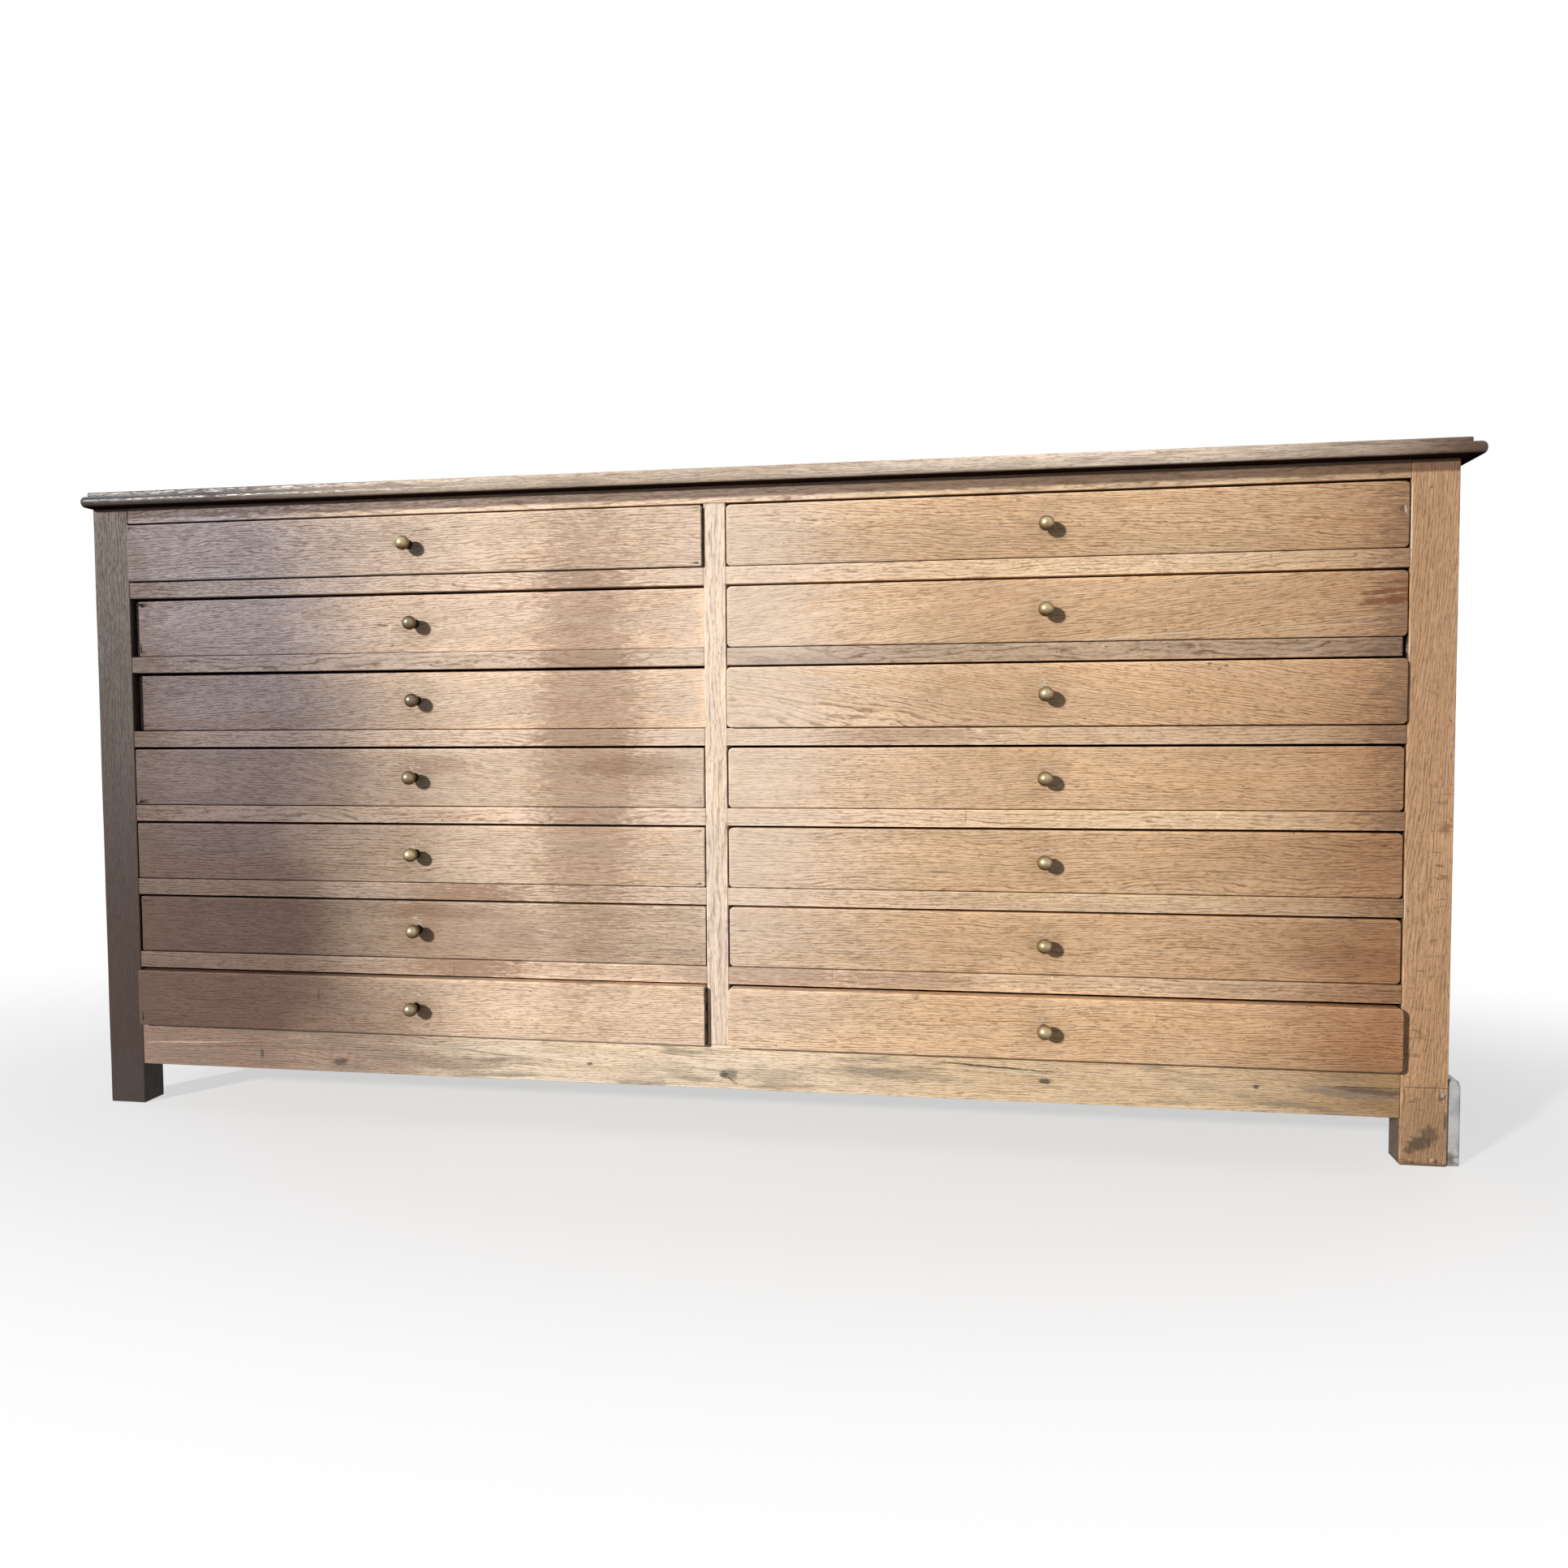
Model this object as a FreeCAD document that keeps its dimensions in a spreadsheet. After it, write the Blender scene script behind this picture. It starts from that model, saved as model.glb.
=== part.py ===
import FreeCAD, Part
import operator
import os
import Sketcher

# Type case cabinet in oak: two columns of drawers in a framed carcass under a moulded top.
# Millimetres. +Z is up, the drawers face -Y, and the origin is under the middle of the whole
# object on the floor.

# Driving sizes, each with the cell's note
SIZES = (
    ("foot_height", 59, "floor to the underside of the bottom rail"),
    ("bottom_rail_height", 59, "bottom rail, front and back"),
    ("drawer_rail_height", 23, "rail between two drawers"),
    ("top_rail_height", 22.4, "rail over the top drawers"),
    ("opening_height", 84.3, "clear height of a drawer opening"),
    ("opening_width", 850.5, "clear width of a drawer opening"),
    ("stile_width", 55, "end stile across the front"),
    ("stile_thickness", 42, "end stile, centre stile and front rails, front to back"),
    ("centre_stile_width", 29, "stile between the columns"),
    ("carcass_depth", 578, "front face of the stiles to the back of the carcass"),
    ("rear_thickness", 30, "rear posts, back rails and muntin, front to back"),
    ("stop_lap", 15, "rear post or muntin standing behind a drawer as its stop"),
    ("side_rail_height", 62, "side rails and top back rail"),
    ("side_rail_thickness", 22, "side rails across the front"),
    ("panel_thickness", 10, "side and back panels, and the tenons in line with them"),
    ("panel_set_in", 6, "panel behind the outer face of its frame"),
    ("groove_depth", 7, "panel groove"),
    ("panel_room", 1, "gap left for the panel to swell at the floor of its groove"),
    ("tenon_length", 20, "tenon in an end stile or a rear post"),
    ("centre_tenon_length", 11, "tenon in or on the centre stile"),
    ("tenon_thickness", 16, "tenon of a front rail, front to back"),
    ("tenon_shoulder", 5, "front rail above and below its tenon"),
    ("frame_shoulder", 9, "side or back rail above and below its tenon"),
    ("front_overhang", 19, "top in front of the stiles"),
    ("left_overhang", 8, "top beyond the left stile"),
    ("right_overhang", 25, "top beyond the right stile"),
    ("nose_thickness", 16, "rounded lower member of the top's moulding"),
    ("nose_radius", 5, "rounding of the nose"),
    ("step_height", 6, "upper member of the top's moulding"),
    ("step_setback", 8, "upper member behind the nose"),
    ("step_right_setback", 15, "upper member behind the nose at the right end"),
    ("step_radius", 2, "rounding of the upper member"),
    ("runner_thickness", 20, "drawer runner"),
    ("runner_reach", 25, "drawer runner under the drawer"),
    ("guide_height", 40, "guide standing on an outer runner"),
    ("skirting_thickness", 16, "skirting board on the right side"),
    ("skirting_height", 108, "skirting board on the right side"),
    ("skirting_start", 4, "skirting board behind the stile's front face"),
    ("skirting_radius", 6, "rounded top of the skirting board"),
    ("drawer_side_gap", 1.75, "drawer to each side of its opening"),
    ("front_bottom_gap", 1, "drawer front above the rail"),
    ("front_top_gap", 3.3, "drawer front below the next rail"),
    ("run_clearance", 0.3, "drawer sides above their runners"),
    ("drawer_set_in", 14, "drawer front behind the stiles when its back meets the stops"),
    ("stop_clearance", 0.3, "drawer back to the stops when pushed right in"),
    ("front_thickness", 20, "drawer front"),
    ("left_corner_radius", 2.5, "corner of a left drawer front, in elevation"),
    ("right_corner_radius", 6, "corner of a right drawer front, in elevation"),
    ("side_thickness", 12, "drawer side"),
    ("side_top_gap", 8, "drawer side below the next rail"),
    ("back_thickness", 10, "drawer back"),
    ("back_drop", 4, "drawer back below the top of the sides"),
    ("bottom_thickness", 6, "drawer bottom"),
    ("bottom_rise", 8, "drawer bottom above the lower edge of the sides"),
    ("bottom_groove", 5, "groove for the drawer bottom"),
    ("lap_thickness", 6, "wood of the drawer front left over the dovetails"),
    ("ball_radius", 9.75, "ball of the knob"),
    ("knob_reach", 26.8, "knob in front of the drawer front"),
    ("neck_radius", 3.8, "neck of the knob"),
    ("collar_radius", 6.6, "collar of the knob against the wood"),
    ("collar_thickness", 2, "collar of the knob"),
    ("knob_shift", 8.5, "knob from its column's centre towards the centre stile"),
    ("shank_radius", 2.4, "screw shank of the knob in the drawer front"),
    ("shank_length", 14, "screw shank of the knob"),
    ("hole_depth", 15, "blind hole for the shank"),
    ("overrun", 3, "cuts past the faces that they open"),
    ("proud_left_1", 6, "rest place of each drawer front before the stiles, from the top"),
    ("proud_left_2", -10, ""),
    ("proud_left_3", -12, ""),
    ("proud_left_4", 0.6, ""),
    ("proud_left_5", 0.4, ""),
    ("proud_left_6", -2, ""),
    ("proud_left_7", 10, ""),
    ("proud_right_1", 0.8, ""),
    ("proud_right_2", 0.3, ""),
    ("proud_right_3", 6, ""),
    ("proud_right_4", -2, ""),
    ("proud_right_5", -1, ""),
    ("proud_right_6", -2, ""),
    ("proud_right_7", 14, ""),
)
ROWS = 7
FRONT_TAILS = 3
BACK_TAILS = 2
# Share of a tail's pitch that the tail takes at its wide end, and its slope
TAIL_WIDTH_SHARE = 0.7
TAIL_SLOPE_SHARE = 1 / 6
# Two places nearer than this are the same place
CLOSE = 0.0001

ARITHMETIC = {"+": operator.add, "-": operator.sub, "*": operator.mul, "/": operator.truediv}


class Length:
    """A length: the sheet formula that gives it, and its present value."""

    def __init__(self, formula, value):
        self.formula = formula
        self.value = value

    def __add__(self, other):
        return combine(self, "+", other)

    def __sub__(self, other):
        return combine(self, "-", other)

    def __mul__(self, other):
        return combine(self, "*", other)

    def __truediv__(self, other):
        return combine(self, "/", other)

    def __neg__(self):
        return combine(0, "-", self)


def combine(first, sign, second):
    """Length worked out from two lengths, or from a length and a plain number."""
    terms = [term if isinstance(term, Length) else Length(repr(term), term) for term in (first, second)]
    formula = "(%s %s %s)" % (terms[0].formula, sign, terms[1].formula)
    return Length(formula, ARITHMETIC[sign](terms[0].value, terms[1].value))


ZERO = Length("0", 0)

doc = FreeCAD.newDocument("type_case_cabinet")
sheet = doc.addObject("Spreadsheet::Sheet", "Sizes")
for row, (alias, number, note) in enumerate(SIZES, start=1):
    sheet.set("A%d" % row, note)
    sheet.set("B%d" % row, str(number))
    sheet.setAlias("B%d" % row, alias)
doc.recompute()


def size(alias):
    """The named size on the sheet."""
    return Length("Sizes.%s" % alias, getattr(sheet, alias))


def bind(item, setting, length):
    """Tie a setting of a document object to a length."""
    item.setExpression(setting, length.formula)


# Levels and widths that several pieces share
foot_height = size("foot_height")
stile_width = size("stile_width")
stile_thickness = size("stile_thickness")
centre_stile_width = size("centre_stile_width")
opening_width = size("opening_width")
opening_height = size("opening_height")
drawer_rail_height = size("drawer_rail_height")
carcass_depth = size("carcass_depth")
rear_thickness = size("rear_thickness")
side_rail_height = size("side_rail_height")
side_rail_thickness = size("side_rail_thickness")
panel_thickness = size("panel_thickness")
panel_set_in = size("panel_set_in")
groove_depth = size("groove_depth")
panel_room = size("panel_room")
tenon_length = size("tenon_length")
centre_tenon_length = size("centre_tenon_length")
frame_shoulder = size("frame_shoulder")
front_thickness = size("front_thickness")
side_thickness = size("side_thickness")
bottom_groove = size("bottom_groove")
bottom_thickness = size("bottom_thickness")
overrun = size("overrun")

row_pitch = opening_height + drawer_rail_height
first_rail_top = foot_height + size("bottom_rail_height")
top_rail_level = first_rail_top + row_pitch * ROWS - drawer_rail_height
carcass_height = top_rail_level + size("top_rail_height")
carcass_width = stile_width * 2 + centre_stile_width + opening_width * 2
centre_stile_left = stile_width + opening_width
right_opening_left = centre_stile_left + centre_stile_width
right_stile_left = right_opening_left + opening_width
rear_front_face = carcass_depth - rear_thickness
upper_side_rail_level = carcass_height - side_rail_height
tenon_front = (stile_thickness - size("tenon_thickness")) / 2
tenon_back = tenon_front + size("tenon_thickness")
panel_back = carcass_depth - panel_set_in
panel_front = panel_back - panel_thickness
panel_inner = panel_set_in + panel_thickness

# The whole object's middle lies over the origin
carcass_left = size("left_overhang") - (carcass_width + size("left_overhang") + size("right_overhang")) / 2
carcass_front = (size("knob_reach") + size("proud_right_7") - carcass_depth) / 2

drawer_width = opening_width - size("drawer_side_gap") * 2
drawer_depth = rear_front_face - size("drawer_set_in") - size("stop_clearance")
drawer_foot = size("run_clearance")
side_top = opening_height - size("side_top_gap")
bottom_level = drawer_foot + size("bottom_rise")
bottom_top = bottom_level + bottom_thickness
back_top = side_top - size("back_drop")
back_front = drawer_depth - size("back_thickness")
front_low = size("front_bottom_gap")
front_high = opening_height - size("front_top_gap")
knob_level = (front_low + front_high) / 2


def opening_floor(row):
    """Level of the rail under a drawer, with the rows counted from the top."""
    return first_rail_top + row_pitch * (ROWS - row)


def new_body(label):
    """Empty body of one piece."""
    body = doc.addObject("PartDesign::Body", label)
    body.Label = label
    return body


def place(item, across, back, up):
    """Set a piece down at a point measured from the carcass's lower left front corner."""
    bind(item, "Placement.Base.x", carcass_left + across)
    bind(item, "Placement.Base.y", carcass_front + back)
    bind(item, "Placement.Base.z", up)
    return item


def new_sketch(body, plane, start):
    """Sketch on one of the body's own planes, moved along the plane's normal."""
    support = [feature for feature in body.Origin.OriginFeatures if feature.Role == plane][0]
    sketch = body.newObject("Sketcher::SketchObject", "outline")
    sketch.AttachmentSupport = [(support, "")]
    sketch.MapMode = "FlatFace"
    bind(sketch, "AttachmentOffset.Base.z", start)
    return sketch


def hold(sketch, line, end, point):
    """Tie one end of a line to the sketch's origin by its two lengths."""
    for kind, axis, length in (("DistanceX", -2, point[0]), ("DistanceY", -1, point[1])):
        if length is ZERO:
            sketch.addConstraint(Sketcher.Constraint("PointOnObject", line, end, axis))
        else:
            constraint = Sketcher.Constraint(kind, -1, 1, line, end, length.value)
            index = sketch.addConstraint(constraint)
            sketch.setExpression("Constraints[%d]" % index, length.formula)


def vector(point):
    """Sketch point as a vector."""
    return FreeCAD.Vector(point[0].value, point[1].value, 0)


def draw_outline(sketch, corners):
    """Closed outline of straight lines through the corners."""
    first = sketch.GeometryCount
    following = corners[1:] + corners[:1]
    sketch.addGeometry([Part.LineSegment(vector(a), vector(b)) for a, b in zip(corners, following)], False)
    count = len(corners)
    joins = [(first + index, first + (index + 1) % count) for index in range(count)]
    sketch.addConstraint([Sketcher.Constraint("Coincident", line, 2, after, 1) for line, after in joins])
    for index, corner in enumerate(corners):
        hold(sketch, first + index, 1, corner)


def draw_circle(sketch, centre, radius):
    """Circle tied to the sketch's origin."""
    line = sketch.addGeometry(Part.Circle(vector(centre), FreeCAD.Vector(0, 0, 1), radius.value), False)
    index = sketch.addConstraint(Sketcher.Constraint("Radius", line, radius.value))
    sketch.setExpression("Constraints[%d]" % index, radius.formula)
    hold(sketch, line, 3, centre)


def rectangle(left, low, right, high):
    """Corners of a rectangle."""
    return [(left, low), (right, low), (right, high), (left, high)]


def extrude(body, kind, plane, low, high, outlines):
    """Pad or pocket between two distances along X, Y or Z."""
    start = -high if plane == "XZ_Plane" else low
    sketch = new_sketch(body, plane, start)
    for corners in outlines:
        draw_outline(sketch, corners)
    return extrude_sketch(body, kind, sketch, high - low)


def extrude_sketch(body, kind, sketch, length):
    """Pad or pocket along the sketch's normal."""
    feature = body.newObject("PartDesign::" + kind, kind.lower())
    feature.Profile = sketch
    feature.Reversed = kind == "Pocket"
    bind(feature, "Length", length)
    return feature


def round_edges(body, base, radius, wanted):
    """Fillet on the base feature's edges that the test picks by their boxes."""
    doc.recompute()
    edges = enumerate(base.Shape.Edges, start=1)
    names = ["Edge%d" % number for number, edge in edges if wanted(edge.BoundBox)]
    fillet = body.newObject("PartDesign::Fillet", "rounding")
    fillet.Base = (base, names)
    bind(fillet, "Radius", radius)


def same(first, second):
    """True where two places are the same."""
    return abs(first - second) < CLOSE


def beam(label, plane, section, tenon, first_tenon, clear_length, last_tenon):
    """Rail or stile with a tenon at each end, lying along the plane's normal."""
    body = new_body(label)
    extrude(body, "Pad", plane, first_tenon, first_tenon + clear_length, [section])
    extrude(body, "Pad", plane, ZERO, first_tenon + clear_length + last_tenon, [tenon])
    return body


def box(label, across, back, up, corner):
    """Plain board with its sizes along X, Y and Z."""
    board = doc.addObject("Part::Box", label)
    board.Label = label
    bind(board, "Length", across)
    bind(board, "Width", back)
    bind(board, "Height", up)
    return place(board, *corner)


def group(label, pieces):
    """One node of several separate pieces."""
    node = doc.addObject("Part::Compound", label)
    node.Label = label
    node.Links = pieces
    return node


def copies(label, piece, places):
    """One node of equal pieces, each set down at its own place."""
    links = []
    for number, corner in enumerate(places, start=1):
        link = doc.addObject("App::Link", "%s_%d" % (label, number))
        link.LinkedObject = piece
        bind(link, "LinkPlacement.Base.x", carcass_left + corner[0])
        bind(link, "LinkPlacement.Base.y", carcass_front + corner[1])
        bind(link, "LinkPlacement.Base.z", corner[2])
        links.append(link)
    return group(label, links)


# Top with its moulded edge on the front and both ends

def make_top():
    """Top board: a rounded nose under a set-back upper member, flush at the back."""
    width = carcass_width + size("left_overhang") + size("right_overhang")
    depth = carcass_depth + size("front_overhang")
    nose = size("nose_thickness")
    height = nose + size("step_height")
    setback = size("step_setback")
    body = new_body("top")
    slab = extrude(body, "Pad", "XY_Plane", ZERO, nose, [rectangle(ZERO, ZERO, width, depth)])

    def is_moulded(bounds):
        return same(bounds.ZLength, 0) and not same(bounds.YMin, depth.value)

    round_edges(body, slab, size("nose_radius"), is_moulded)
    right = width - size("step_right_setback")
    step = extrude(body, "Pad", "XY_Plane", nose, height, [rectangle(setback, setback, right, depth)])

    def is_upper(bounds):
        return same(bounds.ZMin, height.value) and is_moulded(bounds)

    round_edges(body, step, size("step_radius"), is_upper)
    return place(body, -size("left_overhang"), -size("front_overhang"), carcass_height)


# Front frame

def rail_levels():
    """Lower and upper level of each front rail, from the floor up."""
    levels = [(foot_height, first_rail_top)]
    for row in range(ROWS - 1, 0, -1):
        levels.append((opening_floor(row) - drawer_rail_height, opening_floor(row)))
    return levels + [(top_rail_level, carcass_height)]


def front_mortises(levels, base):
    """Mortise outlines for front rails at the levels, in the YZ plane of a stile that starts at base."""
    shoulder = size("tenon_shoulder")
    spans = [(low + shoulder - base, high - shoulder - base) for low, high in levels]
    return [rectangle(tenon_front, low, tenon_back, high) for low, high in spans]


def side_rail_levels():
    """Lower and upper level of the two side rails."""
    return [(foot_height, foot_height + side_rail_height), (upper_side_rail_level, carcass_height)]


def frame_mortises(left, right, levels):
    """Mortise outlines in line with a panel groove."""
    return [rectangle(left, low + frame_shoulder, right, high - frame_shoulder) for low, high in levels]


def panel_groove(left, right, levels):
    """Groove outline between the lower and the upper rail, as deep into them as their own grooves."""
    low = levels[0][1] - groove_depth
    high = levels[1][0] + groove_depth
    return rectangle(left, low, right, high)


def make_front_stile(label, is_left):
    """End stile running down into its foot, mortised for the front rails and the side frame."""
    body = new_body(label)
    outline = rectangle(ZERO, ZERO, stile_width, stile_thickness)
    extrude(body, "Pad", "XY_Plane", ZERO, carcass_height, [outline])
    inner_low = stile_width - tenon_length if is_left else -overrun
    inner_high = stile_width + overrun if is_left else tenon_length
    extrude(body, "Pocket", "YZ_Plane", inner_low, inner_high, front_mortises(rail_levels(), ZERO))
    left = panel_set_in if is_left else stile_width - panel_inner
    right = panel_inner if is_left else stile_width - panel_set_in
    levels = side_rail_levels()
    back = stile_thickness + overrun
    mortise_floor = stile_thickness - tenon_length
    extrude(body, "Pocket", "XZ_Plane", mortise_floor, back, frame_mortises(left, right, levels))
    groove_floor = stile_thickness - groove_depth
    extrude(body, "Pocket", "XZ_Plane", groove_floor, back, [panel_groove(left, right, levels)])
    return place(body, ZERO if is_left else right_stile_left, ZERO, ZERO)


def make_front_rail(label, height, first_tenon, clear_length, last_tenon):
    """Rail across the front."""
    shoulder = size("tenon_shoulder")
    section = rectangle(ZERO, ZERO, stile_thickness, height)
    tenon = rectangle(tenon_front, shoulder, tenon_back, height - shoulder)
    return beam(label, "YZ_Plane", section, tenon, first_tenon, clear_length, last_tenon)


def make_long_rail(label, height, level, mortise_low, mortise_high):
    """Top or bottom rail, from end stile to end stile, mortised for the centre stile."""
    length = carcass_width - stile_width * 2
    body = make_front_rail(label, height, tenon_length, length, tenon_length)
    left = tenon_length + opening_width + size("tenon_shoulder")
    right = left + centre_stile_width - size("tenon_shoulder") * 2
    mortise = rectangle(left, tenon_front, right, tenon_back)
    extrude(body, "Pocket", "XY_Plane", mortise_low, mortise_high, [mortise])
    return place(body, stile_width - tenon_length, ZERO, level)


def make_centre_stile():
    """Stile between the columns, tenoned into the top and bottom rails."""
    shoulder = size("tenon_shoulder")
    section = rectangle(ZERO, ZERO, centre_stile_width, stile_thickness)
    tenon = rectangle(shoulder, tenon_front, centre_stile_width - shoulder, tenon_back)
    clear = top_rail_level - first_rail_top
    reach = centre_tenon_length
    body = beam("centre_stile", "XY_Plane", section, tenon, reach, clear, reach)
    base = first_rail_top - reach
    mortises = front_mortises(rail_levels()[1:-1], base)
    extrude(body, "Pocket", "YZ_Plane", -overrun, reach, mortises)
    right = centre_stile_width
    extrude(body, "Pocket", "YZ_Plane", right - reach, right + overrun, mortises)
    return place(body, centre_stile_left, ZERO, base)


def make_drawer_rails(label, first_tenon, last_tenon, left):
    """The thin rails of one column."""
    rail = make_front_rail(label + "_one", drawer_rail_height, first_tenon, opening_width, last_tenon)
    spots = [(left - first_tenon, ZERO, low) for low, high in rail_levels()[1:-1]]
    return copies(label, rail, spots)


# Sides and back

def make_side_rails():
    """Four rails between the front stiles and the rear posts, grooved for the panels."""
    clear = rear_front_face - stile_thickness
    rails = []
    for side, outer in (("left", ZERO), ("right", carcass_width)):
        is_left = side == "left"
        left = panel_set_in if is_left else side_rail_thickness - panel_inner
        right = panel_inner if is_left else side_rail_thickness - panel_set_in
        for end, (low, high) in zip(("lower", "upper"), side_rail_levels()):
            section = rectangle(ZERO, ZERO, side_rail_thickness, side_rail_height)
            tenon = rectangle(left, frame_shoulder, right, side_rail_height - frame_shoulder)
            label = "%s_%s_side_rail" % (side, end)
            rail = beam(label, "XZ_Plane", section, tenon, tenon_length, clear, tenon_length)
            is_lower = end == "lower"
            floor = side_rail_height - groove_depth if is_lower else -overrun
            edge = side_rail_height + overrun if is_lower else groove_depth
            groove = rectangle(left, tenon_length - overrun, right, tenon_length + clear + overrun)
            extrude(rail, "Pocket", "XY_Plane", floor, edge, [groove])
            across = outer if is_left else outer - side_rail_thickness
            rails.append(place(rail, across, stile_thickness - tenon_length, low))
    return group("side_rails", rails)


def make_side_panels():
    """Panel in the grooves of each side frame."""
    tongue = groove_depth - panel_room
    depth = rear_front_face - stile_thickness + tongue * 2
    low = foot_height + side_rail_height - tongue
    height = upper_side_rail_level + tongue - low
    panels = []
    for side, across in (("left", panel_set_in), ("right", carcass_width - panel_inner)):
        corner = (across, stile_thickness - tongue, low)
        panels.append(box(side + "_side_panel", panel_thickness, depth, height, corner))
    return group("side_panels", panels)


def back_rail_levels():
    """Lower and upper level of the two back rails."""
    return [(foot_height, first_rail_top), (upper_side_rail_level, carcass_height)]


def make_rear_posts():
    """Rear corner posts, wider than the stiles so that they stop the drawers."""
    width = stile_width + size("stop_lap")
    posts = []
    for side in ("left", "right"):
        is_left = side == "left"
        post = new_body(side + "_rear_post")
        outline = rectangle(ZERO, ZERO, width, rear_thickness)
        extrude(post, "Pad", "XY_Plane", ZERO, carcass_height, [outline])
        left = panel_set_in if is_left else width - panel_inner
        right = panel_inner if is_left else width - panel_set_in
        levels = side_rail_levels()
        mortises = frame_mortises(left, right, levels)
        extrude(post, "Pocket", "XZ_Plane", -overrun, tenon_length, mortises)
        groove = panel_groove(left, right, levels)
        extrude(post, "Pocket", "XZ_Plane", -overrun, groove_depth, [groove])
        front = rear_thickness - panel_inner
        back = rear_thickness - panel_set_in
        levels = back_rail_levels()
        for depth, outlines in ((tenon_length, frame_mortises(front, back, levels)),
                                (groove_depth, [panel_groove(front, back, levels)])):
            low = width - depth if is_left else -overrun
            high = width + overrun if is_left else depth
            extrude(post, "Pocket", "YZ_Plane", low, high, outlines)
        across = ZERO if is_left else carcass_width - width
        posts.append(place(post, across, rear_front_face, ZERO))
    return group("rear_posts", posts)


def make_back_rails():
    """Lower and upper rail of the back, grooved for the panels and mortised for the muntin."""
    width = stile_width + size("stop_lap")
    clear = carcass_width - width * 2
    front = rear_thickness - panel_inner
    back = rear_thickness - panel_set_in
    muntin = centre_stile_width + size("stop_lap") * 2
    muntin_left = tenon_length + (clear - muntin) / 2
    rails = []
    for end, (low, high) in zip(("lower", "upper"), back_rail_levels()):
        height = high - low
        section = rectangle(ZERO, ZERO, rear_thickness, height)
        tenon = rectangle(front, frame_shoulder, back, height - frame_shoulder)
        rail = beam(end + "_back_rail", "YZ_Plane", section, tenon, tenon_length, clear, tenon_length)
        is_lower = end == "lower"
        groove = rectangle(tenon_length - overrun, front, tenon_length + clear + overrun, back)
        mortise = rectangle(muntin_left + frame_shoulder, front,
                            muntin_left + muntin - frame_shoulder, back)
        for depth, outline in ((groove_depth, groove), (tenon_length, mortise)):
            floor = height - depth if is_lower else -overrun
            edge = height + overrun if is_lower else depth
            extrude(rail, "Pocket", "XY_Plane", floor, edge, [outline])
        rails.append(place(rail, width - tenon_length, rear_front_face, low))
    return group("back_rails", rails)


def make_back_muntin():
    """Upright between the back panels, grooved on both edges."""
    width = centre_stile_width + size("stop_lap") * 2
    front = rear_thickness - panel_inner
    back = rear_thickness - panel_set_in
    section = rectangle(ZERO, ZERO, width, rear_thickness)
    tenon = rectangle(frame_shoulder, front, width - frame_shoulder, back)
    clear = upper_side_rail_level - first_rail_top
    body = beam("back_muntin", "XY_Plane", section, tenon, tenon_length, clear, tenon_length)
    groove = rectangle(front, tenon_length - overrun, back, tenon_length + clear + overrun)
    extrude(body, "Pocket", "YZ_Plane", -overrun, groove_depth, [groove])
    extrude(body, "Pocket", "YZ_Plane", width - groove_depth, width + overrun, [groove])
    return place(body, (carcass_width - width) / 2, rear_front_face, first_rail_top - tenon_length)


def make_back_panels():
    """Two panels in the grooves of the back frame."""
    tongue = groove_depth - panel_room
    post = stile_width + size("stop_lap")
    muntin = centre_stile_width + size("stop_lap") * 2
    clear = (carcass_width - post * 2 - muntin) / 2
    height = upper_side_rail_level - first_rail_top + tongue * 2
    panels = []
    for side, across in (("left", post), ("right", post + clear + muntin)):
        corner = (across - tongue, panel_front, first_rail_top - tongue)
        panels.append(box(side + "_back_panel", clear + tongue * 2, panel_thickness, height, corner))
    return group("back_panels", panels)


def make_skirting():
    """Painted skirting board along the right side, with a rounded top."""
    body = new_body("right_skirting")
    thickness = size("skirting_thickness")
    height = size("skirting_height")
    depth = carcass_depth - size("skirting_start")
    outline = rectangle(ZERO, ZERO, thickness, depth)
    board = extrude(body, "Pad", "XY_Plane", ZERO, height, [outline])

    def is_top_edge(bounds):
        return same(bounds.ZMin, height.value) and same(bounds.XLength, 0)

    round_edges(body, board, size("skirting_radius"), is_top_edge)
    return place(body, carcass_width, size("skirting_start"), ZERO)


# Inside of the carcass

def make_partition():
    """Upright board behind the centre stile that carries the inner runners."""
    depth = rear_front_face - stile_thickness
    corner = (centre_stile_left, stile_thickness, foot_height)
    height = carcass_height - foot_height
    return box("centre_partition", centre_stile_width, depth, height, corner)


def make_runners_and_guides():
    """Two runners under each drawer, and a guide on each outer one, flush with the end stile."""
    depth = rear_front_face - stile_thickness
    thickness = size("runner_thickness")
    reach = size("runner_reach")
    outer_width = stile_width - side_rail_thickness
    right_end = carcass_width - side_rail_thickness
    runners = []
    guides = []
    for row in range(1, ROWS + 1):
        floor = opening_floor(row)
        level = floor - thickness
        spans = (
            ("left_outer", side_rail_thickness, outer_width + reach),
            ("left_inner", centre_stile_left - reach, reach),
            ("right_inner", right_opening_left, reach),
            ("right_outer", right_end - outer_width - reach, outer_width + reach),
        )
        for side, across, width in spans:
            corner = (across, stile_thickness, level)
            runners.append(box("%s_runner_%d" % (side, row), width, depth, thickness, corner))
        for side, across in (("left", side_rail_thickness), ("right", right_end - outer_width)):
            corner = (across, stile_thickness, floor)
            label = "%s_guide_%d" % (side, row)
            guides.append(box(label, outer_width, depth, size("guide_height"), corner))
    return [group("drawer_runners", runners), group("drawer_guides", guides)]


# Drawers, drawn from the lower left corner of the drawer's own space with the front's face at Y = 0

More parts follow.
